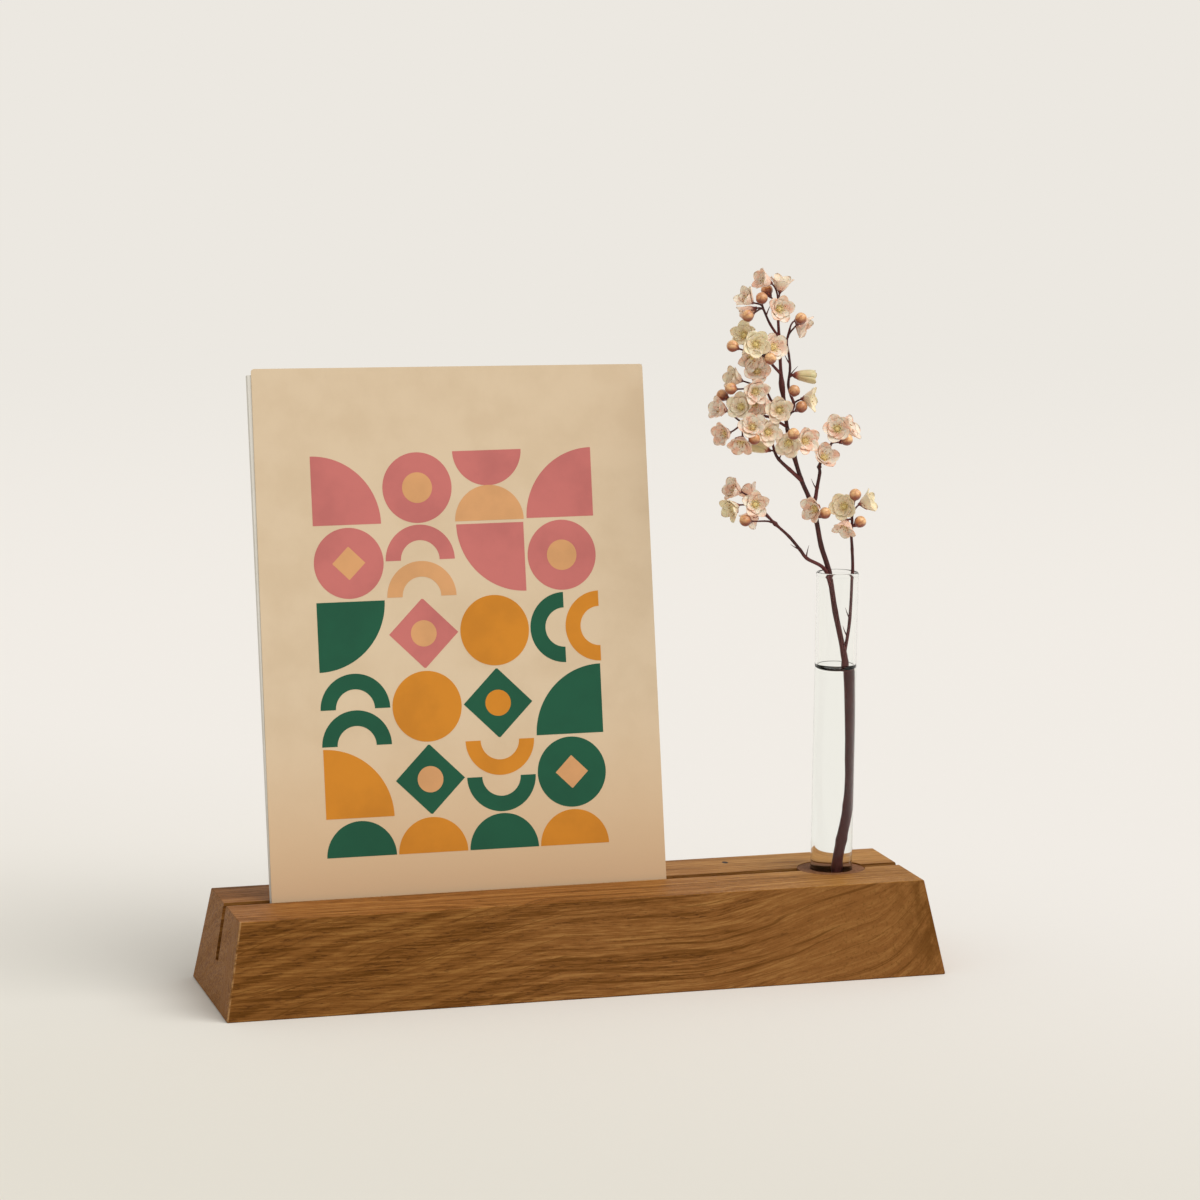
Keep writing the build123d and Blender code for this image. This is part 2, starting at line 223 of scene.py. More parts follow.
def lofted(rings: np.ndarray, start: np.ndarray, end: np.ndarray) -> Shape:
    """Closes a stack of rings with a fan at each end.

    The shape is every ring joined to the next by quads, and the first and last rings
    joined to one pole each by triangles.

    Args:
        rings: Array of ring, vertex and coordinate.
        start: The pole below the first ring.
        end: The pole above the last ring.

    Returns:
        The closed shape.
    """
    count, sides = rings.shape[:2]
    verts = np.concatenate([rings.reshape(-1, 3), start[None], end[None]])
    j = np.arange(sides)
    k = (j + 1) % sides
    last, pole = (count - 1) * sides, np.full(sides, count * sides)
    fans = np.concatenate([np.stack([k, j, pole], -1), np.stack([j + last, k + last, pole + 1], -1)])
    return Shape(verts, grid_quads(count, sides, True), fans)


def turned_profile(frame: LocalFrame, profile: np.ndarray, sides: int) -> Shape:
    """Turns a profile round a frame's up direction.

    Each profile point (radius, height) becomes the ring (radius cos a, radius sin a,
    height). The first and last points lie on the axis and become the poles.

    Args:
        frame: Frame whose up direction is the axis.
        profile: Rows of radius and height, from pole to pole.
        sides: Vertices round each ring.

    Returns:
        The closed shape.
    """
    angle = np.linspace(0, 2 * pi, sides, endpoint=False)
    radius, height = profile[1:-1, 0, None], profile[1:-1, 1, None]
    rings = np.stack([radius * np.cos(angle), radius * np.sin(angle), height + 0 * angle], -1)
    poles = np.array([[0, 0, profile[0, 1]], [0, 0, profile[-1, 1]]])
    return lofted(frame.world(rings), *frame.world(poles))


def smooth_path(points: np.ndarray, steps: int) -> np.ndarray:
    """Runs a smooth curve through points.

    Between two points the curve is the cubic whose end slopes are half the distance
    between the neighbours on either side.

    Args:
        points: Rows of points to pass through.
        steps: Samples between one point and the next.

    Returns:
        Rows of points along the curve.
    """
    padded = np.concatenate([[2 * points[0] - points[1]], points, [2 * points[-1] - points[-2]]])
    a, b, c, d = padded[:-3, None], padded[1:-2, None], padded[2:-1, None], padded[3:, None]
    t = np.linspace(0, 1, steps, endpoint=False)[None, :, None]
    curve = 2 * b + (c - a) * t + (2 * a - 5 * b + 4 * c - d) * t**2 + (3 * b - a - 3 * c + d) * t**3
    return np.concatenate([0.5 * curve.reshape(-1, 3), points[-1:]])


def tube_along(path: np.ndarray, radii: np.ndarray, sides: int) -> Shape:
    """Carries a circle along a path.

    At each path point the circle lies across the path's direction, with a fixed
    sideways direction so that it doesn't twist; its size is that point's radius.

    Args:
        path: Rows of points.
        radii: Radius at each point.
        sides: Vertices round the tube.

    Returns:
        The tube with a blunt rounded tip at each end.
    """
    along = unit(np.gradient(path, axis=0))
    side = unit(np.cross(along, OFF_STEM))
    other = np.cross(along, side)
    angle = np.linspace(0, 2 * pi, sides, endpoint=False)
    spoke = np.cos(angle)[None, :, None] * side[:, None] + np.sin(angle)[None, :, None] * other[:, None]
    rings = path[:, None] + spoke * radii[:, None, None]
    start, end = (path[k] + along[k] * radii[k] * TIP_BULGE * way for k, way in ((0, -1), (-1, 1)))
    shape = lofted(rings, start, end)
    share = np.linspace(0, 1, len(path)).repeat(sides)
    return shape.with_value("share", np.concatenate([share, [0, 1]]))


def thin_shell(outer: np.ndarray, inward: np.ndarray) -> Shape:
    """Closes a sheet of vertices into a thin body.

    The second skin is the first one moved by the inward vectors, and the two are
    joined all round their edge.

    Args:
        outer: Array of row, column and coordinate.
        inward: Vectors of the same shape, or one vector for all.

    Returns:
        The closed body, with its outer vertices first.
    """
    rows, cols = outer.shape[:2]
    verts = np.concatenate([outer.reshape(-1, 3), (outer + inward).reshape(-1, 3)])
    # The outer skin's faces go round the other way than the inner one's.
    skin = grid_quads(rows, cols, False)[:, [0, 3, 2, 1]]
    rim = np.concatenate(
        [
            np.arange(cols - 1),
            np.arange(rows - 1) * cols + cols - 1,
            (rows - 1) * cols + np.arange(cols - 1, 0, -1),
            np.arange(rows - 1, 0, -1) * cols,
        ]
    )
    follow = np.roll(rim, -1)
    step = rows * cols
    edge = np.stack([rim, follow, follow + step, rim + step], -1)
    return Shape(verts, np.concatenate([skin, skin[:, ::-1] + step, edge]), np.zeros((0, 3), int))


# ---------------------------------------------------------------- node graphs


Screen = tuple[int, int, int]
Place = tuple[float, float, float]


def srgb(red: int, green: int, blue: int) -> tuple[float, float, float, float]:
    """Turns a screen colour into a linear one.

    A share c of 255 gives c / 12.92 up to 0.04045 and ((c + 0.055) / 1.055)^2.4 above.

    Args:
        red: Red from 0 to 255.
        green: Green from 0 to 255.
        blue: Blue from 0 to 255.

    Returns:
        The linear colour with an alpha of 1.
    """
    c = np.array([red, green, blue]) / 255
    linear = np.where(c <= 0.04045, c / 12.92, ((c + 0.055) / 1.055) ** 2.4)
    return (*(float(v) for v in linear), 1.0)


def darker(colour: Screen, share: float) -> Screen:
    """The screen colour with each of its values at a share of itself."""
    return tuple(int(v * share) for v in colour)


@dataclass(frozen=True)
class Signal:
    """An output in a node graph; arithmetic on it adds the nodes that work it out."""

    graph: Graph
    socket: bpy.types.NodeSocket

    def __add__(self, other: Signal | float) -> Signal:
        """The sum of both."""
        return self.graph.math("ADD", self, other)

    def __sub__(self, other: Signal | float) -> Signal:
        """This less the other."""
        return self.graph.math("SUBTRACT", self, other)

    def __rsub__(self, other: float) -> Signal:
        """The other less this."""
        return self.graph.math("SUBTRACT", other, self)

    def __mul__(self, other: Signal | float) -> Signal:
        """The product of both."""
        return self.graph.math("MULTIPLY", self, other)

    def __truediv__(self, other: Signal | float) -> Signal:
        """This divided by the other."""
        return self.graph.math("DIVIDE", self, other)

    def __abs__(self) -> Signal:
        """This without its sign."""
        return self.graph.math("ABSOLUTE", self)

    def root(self) -> Signal:
        """The square root."""
        return self.graph.math("SQRT", self)

    def at_least(self, other: Signal | float) -> Signal:
        """The larger of both."""
        return self.graph.math("MAXIMUM", self, other)

    def at_most(self, other: Signal | float) -> Signal:
        """The smaller of both."""
        return self.graph.math("MINIMUM", self, other)

    def clamped(self) -> Signal:
        """The same sum or product, kept between 0 and 1 by its own node."""
        self.socket.node.use_clamp = True
        return self

    def span(self, low: float, high: float, start: float = 0.0, end: float = 1.0) -> Signal:
        """Maps low..high to start..end, smoothly and clamped."""
        inputs = {"Value": self, "From Min": low, "From Max": high, "To Min": start, "To Max": end}
        return self.graph.output("MapRange", inputs, interpolation_type="SMOOTHSTEP")

    def under(self, share: Signal, colour: Signal | Screen) -> Signal:
        """This colour with a share of another one over it."""
        return self.graph.blend(share, self, colour)

    def gained(self, share: Signal, gain: tuple[float, float, float, float]) -> Signal:
        """This colour, multiplied by a gain where the share is 1."""
        return self.under(share, self.graph.blend(1.0, self, gain, "MULTIPLY"))


class Graph:
    """The node tree of a material or a world, built with short calls."""

    def __init__(self, owner: bpy.types.Material | bpy.types.World) -> None:
        """Takes up the owner's own node tree.

        Args:
            owner: The material or world.
        """
        owner.use_nodes = True
        self.owner = owner
        self.tree = owner.node_tree

    @classmethod
    def material(cls, name: str) -> Graph:
        """The graph of a new material that holds only a Principled shader and its output."""
        return cls(bpy.data.materials.new(name))

    def feed(self, target: bpy.types.NodeSocket, value: object) -> None:
        """Links a signal to an input, or sets the input's own value.

        Args:
            target: The input.
            value: A signal, a number, a vector or a colour; three numbers for a colour are
                screen values.
        """
        if isinstance(value, Signal):
            self.tree.links.new(value.socket, target)
        elif target.type == "RGBA" and len(value) == 3:
            target.default_value = srgb(*value)
        else:
            target.default_value = value

    def node(self, kind: str, inputs: dict[object, object], **settings: object) -> bpy.types.Node:
        """Adds a node.

        Args:
            kind: Blender's node type, without the ShaderNode that all of them start with.
            inputs: Signals, numbers or colours for its inputs, by name or number.
            settings: Properties to set on it before its inputs.

        Returns:
            The new node.
        """
        made = self.tree.nodes.new(f"ShaderNode{kind}")
        for key, value in settings.items():
            setattr(made, key, value)
        for key, value in inputs.items():
            self.feed(made.inputs[key], value)
        return made

    def output(self, kind: str, inputs: dict, outlet: str | int = 0, **settings: object) -> Signal:
        """One output of a new node."""
        return Signal(self, self.node(kind, inputs, **settings).outputs[outlet])

    def math(self, operation: str, a: Signal | float, b: Signal | float = 0.0) -> Signal:
        """One arithmetic step on numbers."""
        return self.output("Math", {0: a, 1: b}, operation=operation)

    def place(self, stretch: Place = (1, 1, 1)) -> Signal:
        """The Object coordinate in millimetres, stretched along each axis."""
        scale = tuple(s / MM for s in stretch)
        return self.output("Mapping", {"Vector": self.output("TexCoord", {}, "Object"), "Scale": scale})

    def parts(self, vector: Signal) -> list[Signal]:
        """The three numbers of a vector."""
        return [Signal(self, s) for s in self.node("SeparateXYZ", {0: vector}).outputs]

    def normal(self) -> list[Signal]:
        """The three numbers of the direction that the surface faces."""
        return self.parts(self.output("NewGeometry", {}, "Normal"))

    def vector(self, x: Signal | float, y: Signal | float, z: Signal | float) -> Signal:
        """A vector made of three numbers."""
        return self.output("CombineXYZ", {0: x, 1: y, 2: z})

    def noise(self, vector: Signal, scale: float, detail: float = 3.0, rough: float = 0.5) -> Signal:
        """Smooth noise from 0 to 1."""
        inputs = {"Vector": vector, "Scale": scale, "Detail": detail, "Roughness": rough}
        return self.output("TexNoise", inputs, "Fac")

    def blend(self, share: Signal | float, first: object, second: object, mode: str = "MIX") -> Signal:
        """Mixes two colours."""
        return self.output("Mix", {0: share, 6: first, 7: second}, 2, data_type="RGBA", blend_type=mode)

    def value(self, name: str) -> Signal:
        """A per-vertex value of the mesh."""
        return self.output("Attribute", {}, "Fac", attribute_name=name)

    def bump(self, height: Signal, depth_mm: float, strength: float = 1.0) -> None:
        """Raises the surface by a height map, whose full depth is given in millimetres."""
        inputs = {"Height": height, "Distance": depth_mm * MM, "Strength": strength}
        self.surface(Normal=self.output("Bump", inputs))

    def surface(self, **inputs: object) -> bpy.types.Material:
        """Sets inputs of the material's Principled shader.

        Args:
            inputs: Values or signals by input name, with underscores for spaces.

        Returns:
            The material.
        """
        for key, value in inputs.items():
            self.feed(self.tree.nodes["Principled BSDF"].inputs[key.replace("_", " ")], value)
        return self.owner

    def finish(self, mix: dict[object, object], outlet: str) -> None:
        """Sends a mix of two shaders to the tree's own outlet."""
        self.feed(self.tree.nodes[outlet].inputs["Surface"], self.output("MixShader", mix))


# ---------------------------------------------------------------- finishes


@dataclass(frozen=True)
class Pattern:
    """A noise drawn out along the wood: its stretch along x, its scale, detail and roughness."""

    stretch: float
    scale: float
    detail: float
    rough: float

    def at(self, x: Signal, y: Signal | float, z: Signal) -> Signal:
        """The noise at a place, from 0 to 1, with x stretched along the wood."""
        g = x.graph
        return g.noise(g.vector(x * self.stretch, y, z), self.scale, self.detail, self.rough)


@dataclass(frozen=True)
class Grain:
    """Where a point of the oak lies, in millimetres, and shares from 0 to 1 that its patterns use.

    The fibres and rings have a height of their own each; beyond is the distance past the
    start of the curl, and calm falls where the pattern fades.
    """

    x: Signal
    y: Signal
    z: Signal
    fibre_z: Signal
    ring_z: Signal
    beyond: Signal
    near_front: Signal
    calm: Signal


@dataclass(frozen=True)
class OakFinish:
    """Planed and oiled oak with straight fibres along the block and a curl near its right end."""

    light: Screen = (152, 106, 53)
    middle: Screen = (128, 82, 37)
    dark: Screen = (96, 58, 18)
    pore: Screen = (78, 44, 14)
    end_light: Screen = (158, 106, 46)
    end_dark: Screen = (112, 66, 16)
    gloss: Screen = (214, 190, 160)
    # Colour of the painted highlight on the left front edge.
    edge_highlight: Screen = (180, 136, 88)
    pin: Screen = (40, 22, 10)
    curl_from_mm: float = 38.0
    curl_slope: float = 0.31
    curl_onset_mm: float = 20.0
    sweep_from_mm: float = 106.0
    sweep_reach_mm: float = 44.0
    left_reach_mm: float = 10.0
    left_slope: float = 0.29
    ring_lean: float = 0.45
    drift_mm: float = 7.0
    drift_stretch: Place = (0.012, 0.03, 0.05)
    rings: Pattern = Pattern(0.008, 0.17, 2.0, 0.6)
    streaks: Pattern = Pattern(0.03, 1.0, 3.0, 0.6)
    fibres: Pattern = Pattern(0.05, 2.6, 3.0, 0.6)
    dashes: Pattern = Pattern(0.16, 1.7, 2.0, 0.55)
    arcs: Pattern = Pattern(0.012, 0.34, 1.0, 0.5)
    breaks: Pattern = Pattern(0.06, 0.9, 3.0, 0.6)
    end_rings: Pattern = Pattern(0.3, 1.3, 4.0, 0.7)
    knot_reach_mm: float = 17.0
    pore_depth_mm: float = 0.14
    # The gains below are painted light: the top lighter, a painted reflection on the top towards the right,
    # and the front lighter towards the right.
    top_painted_light_gain: tuple[float, float, float, float] = (1.34, 1.3, 1.2, 1.0)
    top_painted_reflection_gain: tuple[float, float, float, float] = (1.3, 1.48, 1.6, 1.0)
    top_painted_reflection_span_mm: tuple[float, float] = (-10.0, 100.0)
    front_painted_light_gain: tuple[float, float, float, float] = (1.12, 1.15, 1.34, 1.0)
    front_painted_light_span_mm: tuple[float, float] = (-60.0, 0.0)
    pin_place_mm: Place = (65.9, 20.2, 34.5)
    pin_squeeze: float = 0.6

    def material(self, low: Vector, high: Vector, bevel: float) -> bpy.types.Material:
        """Builds the oak, from its fibres out to a painted highlight on its left front edge.

        The tone is streaks and fibres added up, and a dark band of the rings adds to it.
        Pores are short dashes, thickest in the dark bands.

        Args:
            low: The block's lowest corner.
            high: The block's highest corner.
            bevel: Slope of the sides, as run for each unit of rise.

        Returns:
            The material, on Object coordinates in millimetres.
        """
        g = Graph.material("oiled_oak")
        grain = self._grain(g)
        band = self.rings.at(grain.x, 0.0, grain.ring_z).span(0.42, 0.6)
        streak = self.streaks.at(grain.x, grain.y, grain.fibre_z)
        fibre = self.fibres.at(grain.x, grain.y, grain.fibre_z)
        dash = self.dashes.at(grain.x, grain.y, grain.fibre_z).span(0.54, 0.7)
        tone = (streak * 0.55 + fibre * 0.45 - 0.5) * grain.calm + 0.5 + band * 0.11 * grain.calm
        pores = dash * (band * 0.85 + 0.15) * grain.calm
        colour = g.blend(tone.span(0.40, 0.55), self.light, self.middle)
        colour = colour.under(tone.span(0.53, 0.70), self.dark).under(pores * 0.75, self.pore)
        colour = self._figured(colour, grain, high.x / MM, bevel)
        colour = self._by_face(colour, grain)
        # Painted highlight along the edge between the left end and the front.
        colour = colour.under(self._painted_edge_highlight(grain, low, bevel), self.edge_highlight)
        colour = colour.under(self._pin_mark(g), self.pin)
        g.bump(fibre * 0.5 - pores, self.pore_depth_mm, 0.8)
        log.info("oak: %.0f mm long, grain on object coordinates", (high.x - low.x) / MM)
        return g.surface(
            Base_Color=colour,
            Roughness=tone.span(0.35, 0.7, 0.46, 0.6),
            Specular_IOR_Level=0.1,
            Specular_Tint=self.gloss,
        )

    def _grain(self, g: Graph) -> Grain:
        """Works out the heights that the fibres and the rings follow.

        Height across the fibres is z less a curl, which is slope (sqrt(b^2 + onset^2) -
        onset) at a distance b past its start, and a parabola near the right end. Height
        across the rings also falls by a slope at the left, so that the dark bands rise to
        the right on the front while the fibres stay level.

        Args:
            g: The graph to build in.

        Returns:
            The places and shares that every pattern starts from.
        """
        x, y, z = g.parts(g.place())
        near_front = y.span(-16.0, -30.0)
        beyond = (x - self.curl_from_mm).at_least(0.0)
        curl = ((beyond * beyond + self.curl_onset_mm**2).root() - self.curl_onset_mm) * self.curl_slope
        last = (x - self.sweep_from_mm).at_least(0.0)
        curl = (curl + last * last / self.sweep_reach_mm) * near_front
        rise = (x + self.left_reach_mm).at_most(0.0) * self.left_slope * near_front
        wander = (g.noise(g.place(self.drift_stretch), 1.0, 2.0) - 0.5) * self.drift_mm
        fibre_z = z - curl + wander * 0.5
        ring_z = fibre_z + y * self.ring_lean - rise + wander
        calm = (beyond * near_front).span(5.0, 60.0, 1.0, 0.42)
        return Grain(x, y, z, fibre_z, ring_z, beyond, near_front, calm)

    def _figured(self, colour: Signal, grain: Grain, right_mm: float, bevel: float) -> Signal:
        """Darkens the wood along broken arcs, in the flecks of the curl and by the knot at the right.

        An arc lies where a slow noise along the rings passes its middle. The knot's cloud
        fades with the distance from the sloping right end.

        Args:
            colour: The wood's colour so far.
            grain: Its places and shares.
            right_mm: Where the right end stands at its foot.
            bevel: Slope of the sides.

        Returns:
            The darkened colour.
        """
        x, y, z, g = grain.x, grain.y, grain.z, colour.graph
        broken = self.breaks.at(x, 3.0, grain.ring_z).span(0.36, 0.56)
        arc = abs(self.arcs.at(x, 7.0, grain.ring_z) - 0.5).span(0.02, 0.004) * broken
        fleck = g.noise(g.vector(x + z, z - x, y), 0.75, 3.0, 0.7).span(0.52, 0.66)
        flecks = fleck * grain.beyond.span(20.0, 70.0, 0.15, 0.5) * grain.near_front
        cloud = g.noise(g.vector(x, y, z * 0.5), 0.16, 4.0, 0.65).span(0.36, 0.6)
        knot = (right_mm - (x + z * bevel)).span(self.knot_reach_mm, 1.0) * cloud * grain.near_front
        return colour.under(arc * 0.75, self.dark).under(flecks, self.dark).under(knot * 0.85, self.dark)

    def _by_face(self, colour: Signal, grain: Grain) -> Signal:
        """Puts the end grain on the ends and paints light by face: painted light on the top, a painted
        reflection on the top towards the right, and painted light on the front towards the right.

        Args:
            colour: The wood's colour so far.
            grain: Its places and shares.

        Returns:
            The colour of each face.
        """
        facing_x, facing_y, facing_z = colour.graph.normal()
        rings = self.end_rings.at(grain.x, grain.y * 0.4, grain.ring_z).span(0.38, 0.64)
        ends = colour.graph.blend(rings, self.end_light, self.end_dark)
        top, front = facing_z.span(0.6, 0.95), facing_y.span(-0.7, -0.9)
        # Painted light on the top, then a painted reflection on the top and painted light on the front,
        # both towards the right.
        colour = colour.under(abs(facing_x).span(0.7, 0.9) * 0.8, ends).gained(top, self.top_painted_light_gain)
        colour = colour.gained(top * grain.x.span(*self.top_painted_reflection_span_mm), self.top_painted_reflection_gain)
        return colour.gained(front * grain.x.span(*self.front_painted_light_span_mm), self.front_painted_light_gain)

    def _painted_edge_highlight(self, grain: Grain, low: Vector, bevel: float) -> Signal:
        """A painted highlight in light dashes along the edge between the left end and the front.

        Args:
            grain: The wood's places and shares.
            low: The block's lowest corner.
            bevel: Slope of the sides.

        Returns:
            From 0 away from the edge to 1 on a dash of the highlight.
        """
        g, back = grain.x.graph, grain.z * bevel
        from_end, from_front = grain.x - low.x / MM - back, grain.y - low.y / MM - back
        # Noise that breaks the painted highlight into dashes.
        glints = g.noise(g.place((0.2, 0.2, 0.5)), 1.0, 3.0, 0.6).span(0.36, 0.6, 0.1, 0.9)
        return from_end.at_least(from_front).span(0.62, 0.2) * glints

    def _pin_mark(self, g: Graph) -> Signal:
        """A small dark pin mark on the top face, drawn out across the grain.

        Args:
            g: The oak's graph.

        Returns:
            1 up to 0.95 mm from the pin's place, falling to 0 at 1.25 mm.
        """
        x, y, z = self.pin_place_mm
        ends = {0: g.place((1, self.pin_squeeze, 1)), 1: (x, y * self.pin_squeeze, z)}
        return g.output("VectorMath", ends, "Value", operation="DISTANCE").span(1.25, 0.95)


@dataclass(frozen=True)
class BushFinish:
    """Matt dark brown sleeve with faint turning marks."""

    colour: Screen = (138, 92, 60)
    cloud_colour: Screen = (110, 72, 46)

    def material(self) -> bpy.types.Material:
        """Builds the sleeve's finish on Object coordinates.

        Clouds of a noise blend the two browns and make them rougher. The turning marks are
        a noise squeezed six times along the axis.

        Returns:
            The sleeve's material.
        """
        g = Graph.material("brown_sleeve")
        cloud = g.noise(g.place(), 0.9, 4.0, 0.6)
        g.bump(g.noise(g.place((1, 1, 6)), 1.4), 0.05, 0.5)
        return g.surface(
            Base_Color=g.blend(cloud.span(0.3, 0.7), self.colour, self.cloud_colour),
            Roughness=cloud.span(0.2, 0.8, 0.6, 0.75),
            Specular_IOR_Level=0.12,
            Specular_Tint=(0.6, 0.5, 0.45, 1.0),
        )


@dataclass(frozen=True)
class ClearFinish:
    """A clear material that bends light, such as glass or water."""

    name: str
    tint: Screen
    ior: float
    ripple_mm: float
    shine: float = 0.2

    def material(self) -> bpy.types.Material:
        """Builds the clear finish with a very slight ripple.

        Returns:
            The clear material.
        """
        g = Graph.material(self.name)
        g.bump(g.noise(g.place((0.15, 0.15, 0.04)), 1.0, 2.0), self.ripple_mm, 0.35)
        return g.surface(
            Base_Color=self.tint,
            Roughness=0.0,
            IOR=self.ior,
            Specular_Tint=(self.shine, self.shine, self.shine, 1.0),
            Transmission_Weight=1.0,
        )


@dataclass(frozen=True)
class SheetFinish:
    """Uncoated board or paper with a fine tooth and faint clouds."""

    name: str
    colour: Screen
    cloud_colour: Screen
    tooth_mm: float = 0.03
    roughness: float = 0.75
    # Colour of painted shade and warm bounce light towards the sheet's foot, if any.
    foot_tone_and_shade: Screen | None = None
    foot_shade_span_mm: tuple[float, float] = (110.0, 33.0)

    def material(self) -> bpy.types.Material:
        """Builds the sheet's finish, with painted shade and warm bounce light towards its foot where it has
        a foot shade colour.

        Clouds about 20 mm wide blend to the cloud colour. The painted shade at the foot fades in between
        two heights. Flecks about half a millimetre wide are a little darker.

        Returns:
            The sheet's material.
        """
        g = Graph.material(self.name)
        cloud = g.noise(g.place((0.05, 0.05, 0.05)), 1.0, 4.0, 0.55)
        fleck = g.noise(g.place(), 2.2, 3.0, 0.6)
        colour = g.blend(cloud.span(0.35, 0.7), self.colour, self.cloud_colour)
        # Painted shade and warm bounce light from the wood, darker towards the foot.
        if self.foot_tone_and_shade:
            colour = colour.under(g.parts(g.place())[2].span(*self.foot_shade_span_mm), self.foot_tone_and_shade)
        colour = colour.under(fleck.span(0.6, 0.8, 0.0, 0.22), darker(self.colour, 0.88))
        g.bump(g.noise(g.place(), 3.5, 3.0, 0.65), self.tooth_mm, 0.6)
        return g.surface(Base_Color=colour, Roughness=self.roughness, Specular_IOR_Level=0.25)


@dataclass(frozen=True)
class StemFinish:
    """Dark red-brown bark, redder towards the tips, with fine lengthways lines."""

    dark: Screen = (58, 30, 31)
    light: Screen = (88, 46, 42)
    root_red: Screen = (104, 48, 46)
    tip_red: Screen = (110, 46, 42)

    def material(self) -> bpy.types.Material:
        """Builds the bark on Object coordinates and the share along each stem.

        A mottle drawn out upwards blends dark to light. Red fades in below the stem's
        middle towards its root and, less, towards its tip.

        Returns:
            The bark's material.
        """
        g = Graph.material("stem_bark")
        share = g.value("share")
        mottle = g.noise(g.place((1, 1, 0.25)), 1.6, 3.0, 0.6)
        colour = g.blend(mottle.span(0.35, 0.7), self.dark, self.light)
        colour = colour.under(share.span(0.5, 0.2, 0.0, 0.8), self.root_red)
        colour = colour.under(share.span(0.6, 1.0, 0.0, 0.5), self.tip_red)
        g.bump(g.noise(g.place((1.5, 1.5, 0.2)), 2.4), 0.08, 0.6)
        return g.surface(Base_Color=colour, Roughness=0.45, Specular_IOR_Level=0.25)


@dataclass(frozen=True)
class PetalFinish:
    """Thin cream petals, pink outside and yellow-green in the cup, with dark specks and tips."""

    name: str = "petal"
    cream: Screen = (255, 248, 230)
    ivory: Screen = (255, 243, 204)
    flush: Screen = (255, 206, 180)
    throat: Screen = (255, 236, 178)
    foot: Screen = (184, 96, 72)
    vein: Screen = (255, 226, 188)
    mark: Screen = (150, 108, 78)
    sheen: Screen = (255, 240, 224)
    speck_share: float = 0.4
    tip_share: float = 0.45

    def material(self) -> bpy.types.Material:
        """Builds the petals on their own length, width, side and flower values.

        The pink is clouds, plus the rim, plus the foot of the outside, all times the
        flower's tone. Veins are a noise drawn out along the petal. The yellow-green lies at
        the inside's foot and a red-brown at the outside's. Specks are the middles of
        scattered cells on the outer half, and the tip has a mark of its own.

        Returns:
            The petals' material.
        """
        g = Graph.material(self.name)
        along, across, tone, inside = (g.value(name) for name in ("along", "across", "tone", "inside"))
        edge, outside = abs(across), 1.0 - inside
        flush = g.noise(g.place(), 0.35, 2.0).span(0.4, 0.65, 0.05, 0.7) + edge.span(0.7, 1.0, 0.0, 0.3)
        flush = flush + along.span(1.0, 0.1, 0.0, 0.8) * outside
        flush = (flush * tone.span(0.0, 0.9, 0.3, 1.5)).clamped()
        lines = g.noise(g.vector(along * 0.9, across * 5.0, tone), 1.6, 2.0)
        colour = g.blend(tone.span(0.6, 0.0), self.cream, self.ivory).under(flush, self.flush)
        colour = colour.under(lines.span(0.5, 0.72, 0.0, 0.3), self.vein)
        colour = colour.under(along.span(0.5, 0.22, 0.0, 0.8) * inside, self.throat)
        colour = colour.under(along.span(0.3, 0.05, 0.0, 0.85) * outside, self.foot)
        cell = g.output("TexVoronoi", {"Vector": g.place(), "Scale": 0.62}, "Distance")
        speck = cell.span(0.17, 0.1) * along.span(0.35, 0.5)
        tip = along.span(0.93, 0.98) * edge.span(1.1, 0.4)
        colour = colour.under((speck * self.speck_share).at_least(tip * self.tip_share), self.mark)
        g.bump(lines, 0.08, 0.5)
        return g.surface(
            Base_Color=colour,
            Roughness=0.5,
            Specular_IOR_Level=0.3,
            Subsurface_Weight=0.15,
            Subsurface_Radius=(1.0, 0.7, 0.5),
            Subsurface_Scale=0.3 * MM,
            Sheen_Weight=0.8,
            Sheen_Roughness=0.6,
            Sheen_Tint=self.sheen,
        )


@dataclass(frozen=True)
class BudFinish:
    """Copper-coloured bud skin with dark red ribs, a dark foot, painted shade underneath and a soft gloss.
    """

    light: Screen = (254, 206, 146)
    middle: Screen = (208, 132, 80)
    rib: Screen = (140, 68, 46)
    foot: Screen = (104, 46, 38)

    def material(self) -> bpy.types.Material:
        """Builds the skin on the bud's height, rib and tone values.

        It is paler in the mottle and towards the tip, the more so the lower the tone. The furrows take the
        furrow colour, the underside takes it as painted shade, and the foot is the darkest.

        Returns:
            The buds' material.
        """
        g = Graph.material("bud_skin")
        along, rib, tone = g.value("along"), g.value("rib"), g.value("tone")
        mottle = g.noise(g.place(), 0.55, 3.0, 0.6)
        paler = mottle.span(0.4, 0.62, 0.0, 0.7) + along.span(0.4, 1.0, 0.0, 0.5)
        colour = g.blend((paler * tone.span(0.0, 1.0, 1.1, 0.5)).clamped(), self.middle, self.light)
        colour = colour.under(rib.span(0.0, 0.9) * mottle.span(0.35, 0.6, 0.5, 0.1), self.rib)
        # Painted shade: the faces that point down take the furrow colour.
        colour = colour.under(g.normal()[2].span(0.3, -0.6, 0.0, 0.95), self.rib)
        foot = (along.span(0.66, 0.1) + (tone - 0.6) * 0.5).clamped()
        colour = colour.under(foot * 0.9, self.foot)
        g.bump(mottle, 0.08, 0.5)
        return g.surface(
            Base_Color=colour, Roughness=0.32, Specular_IOR_Level=0.5, Coat_Weight=0.25, Coat_Roughness=0.25
        )


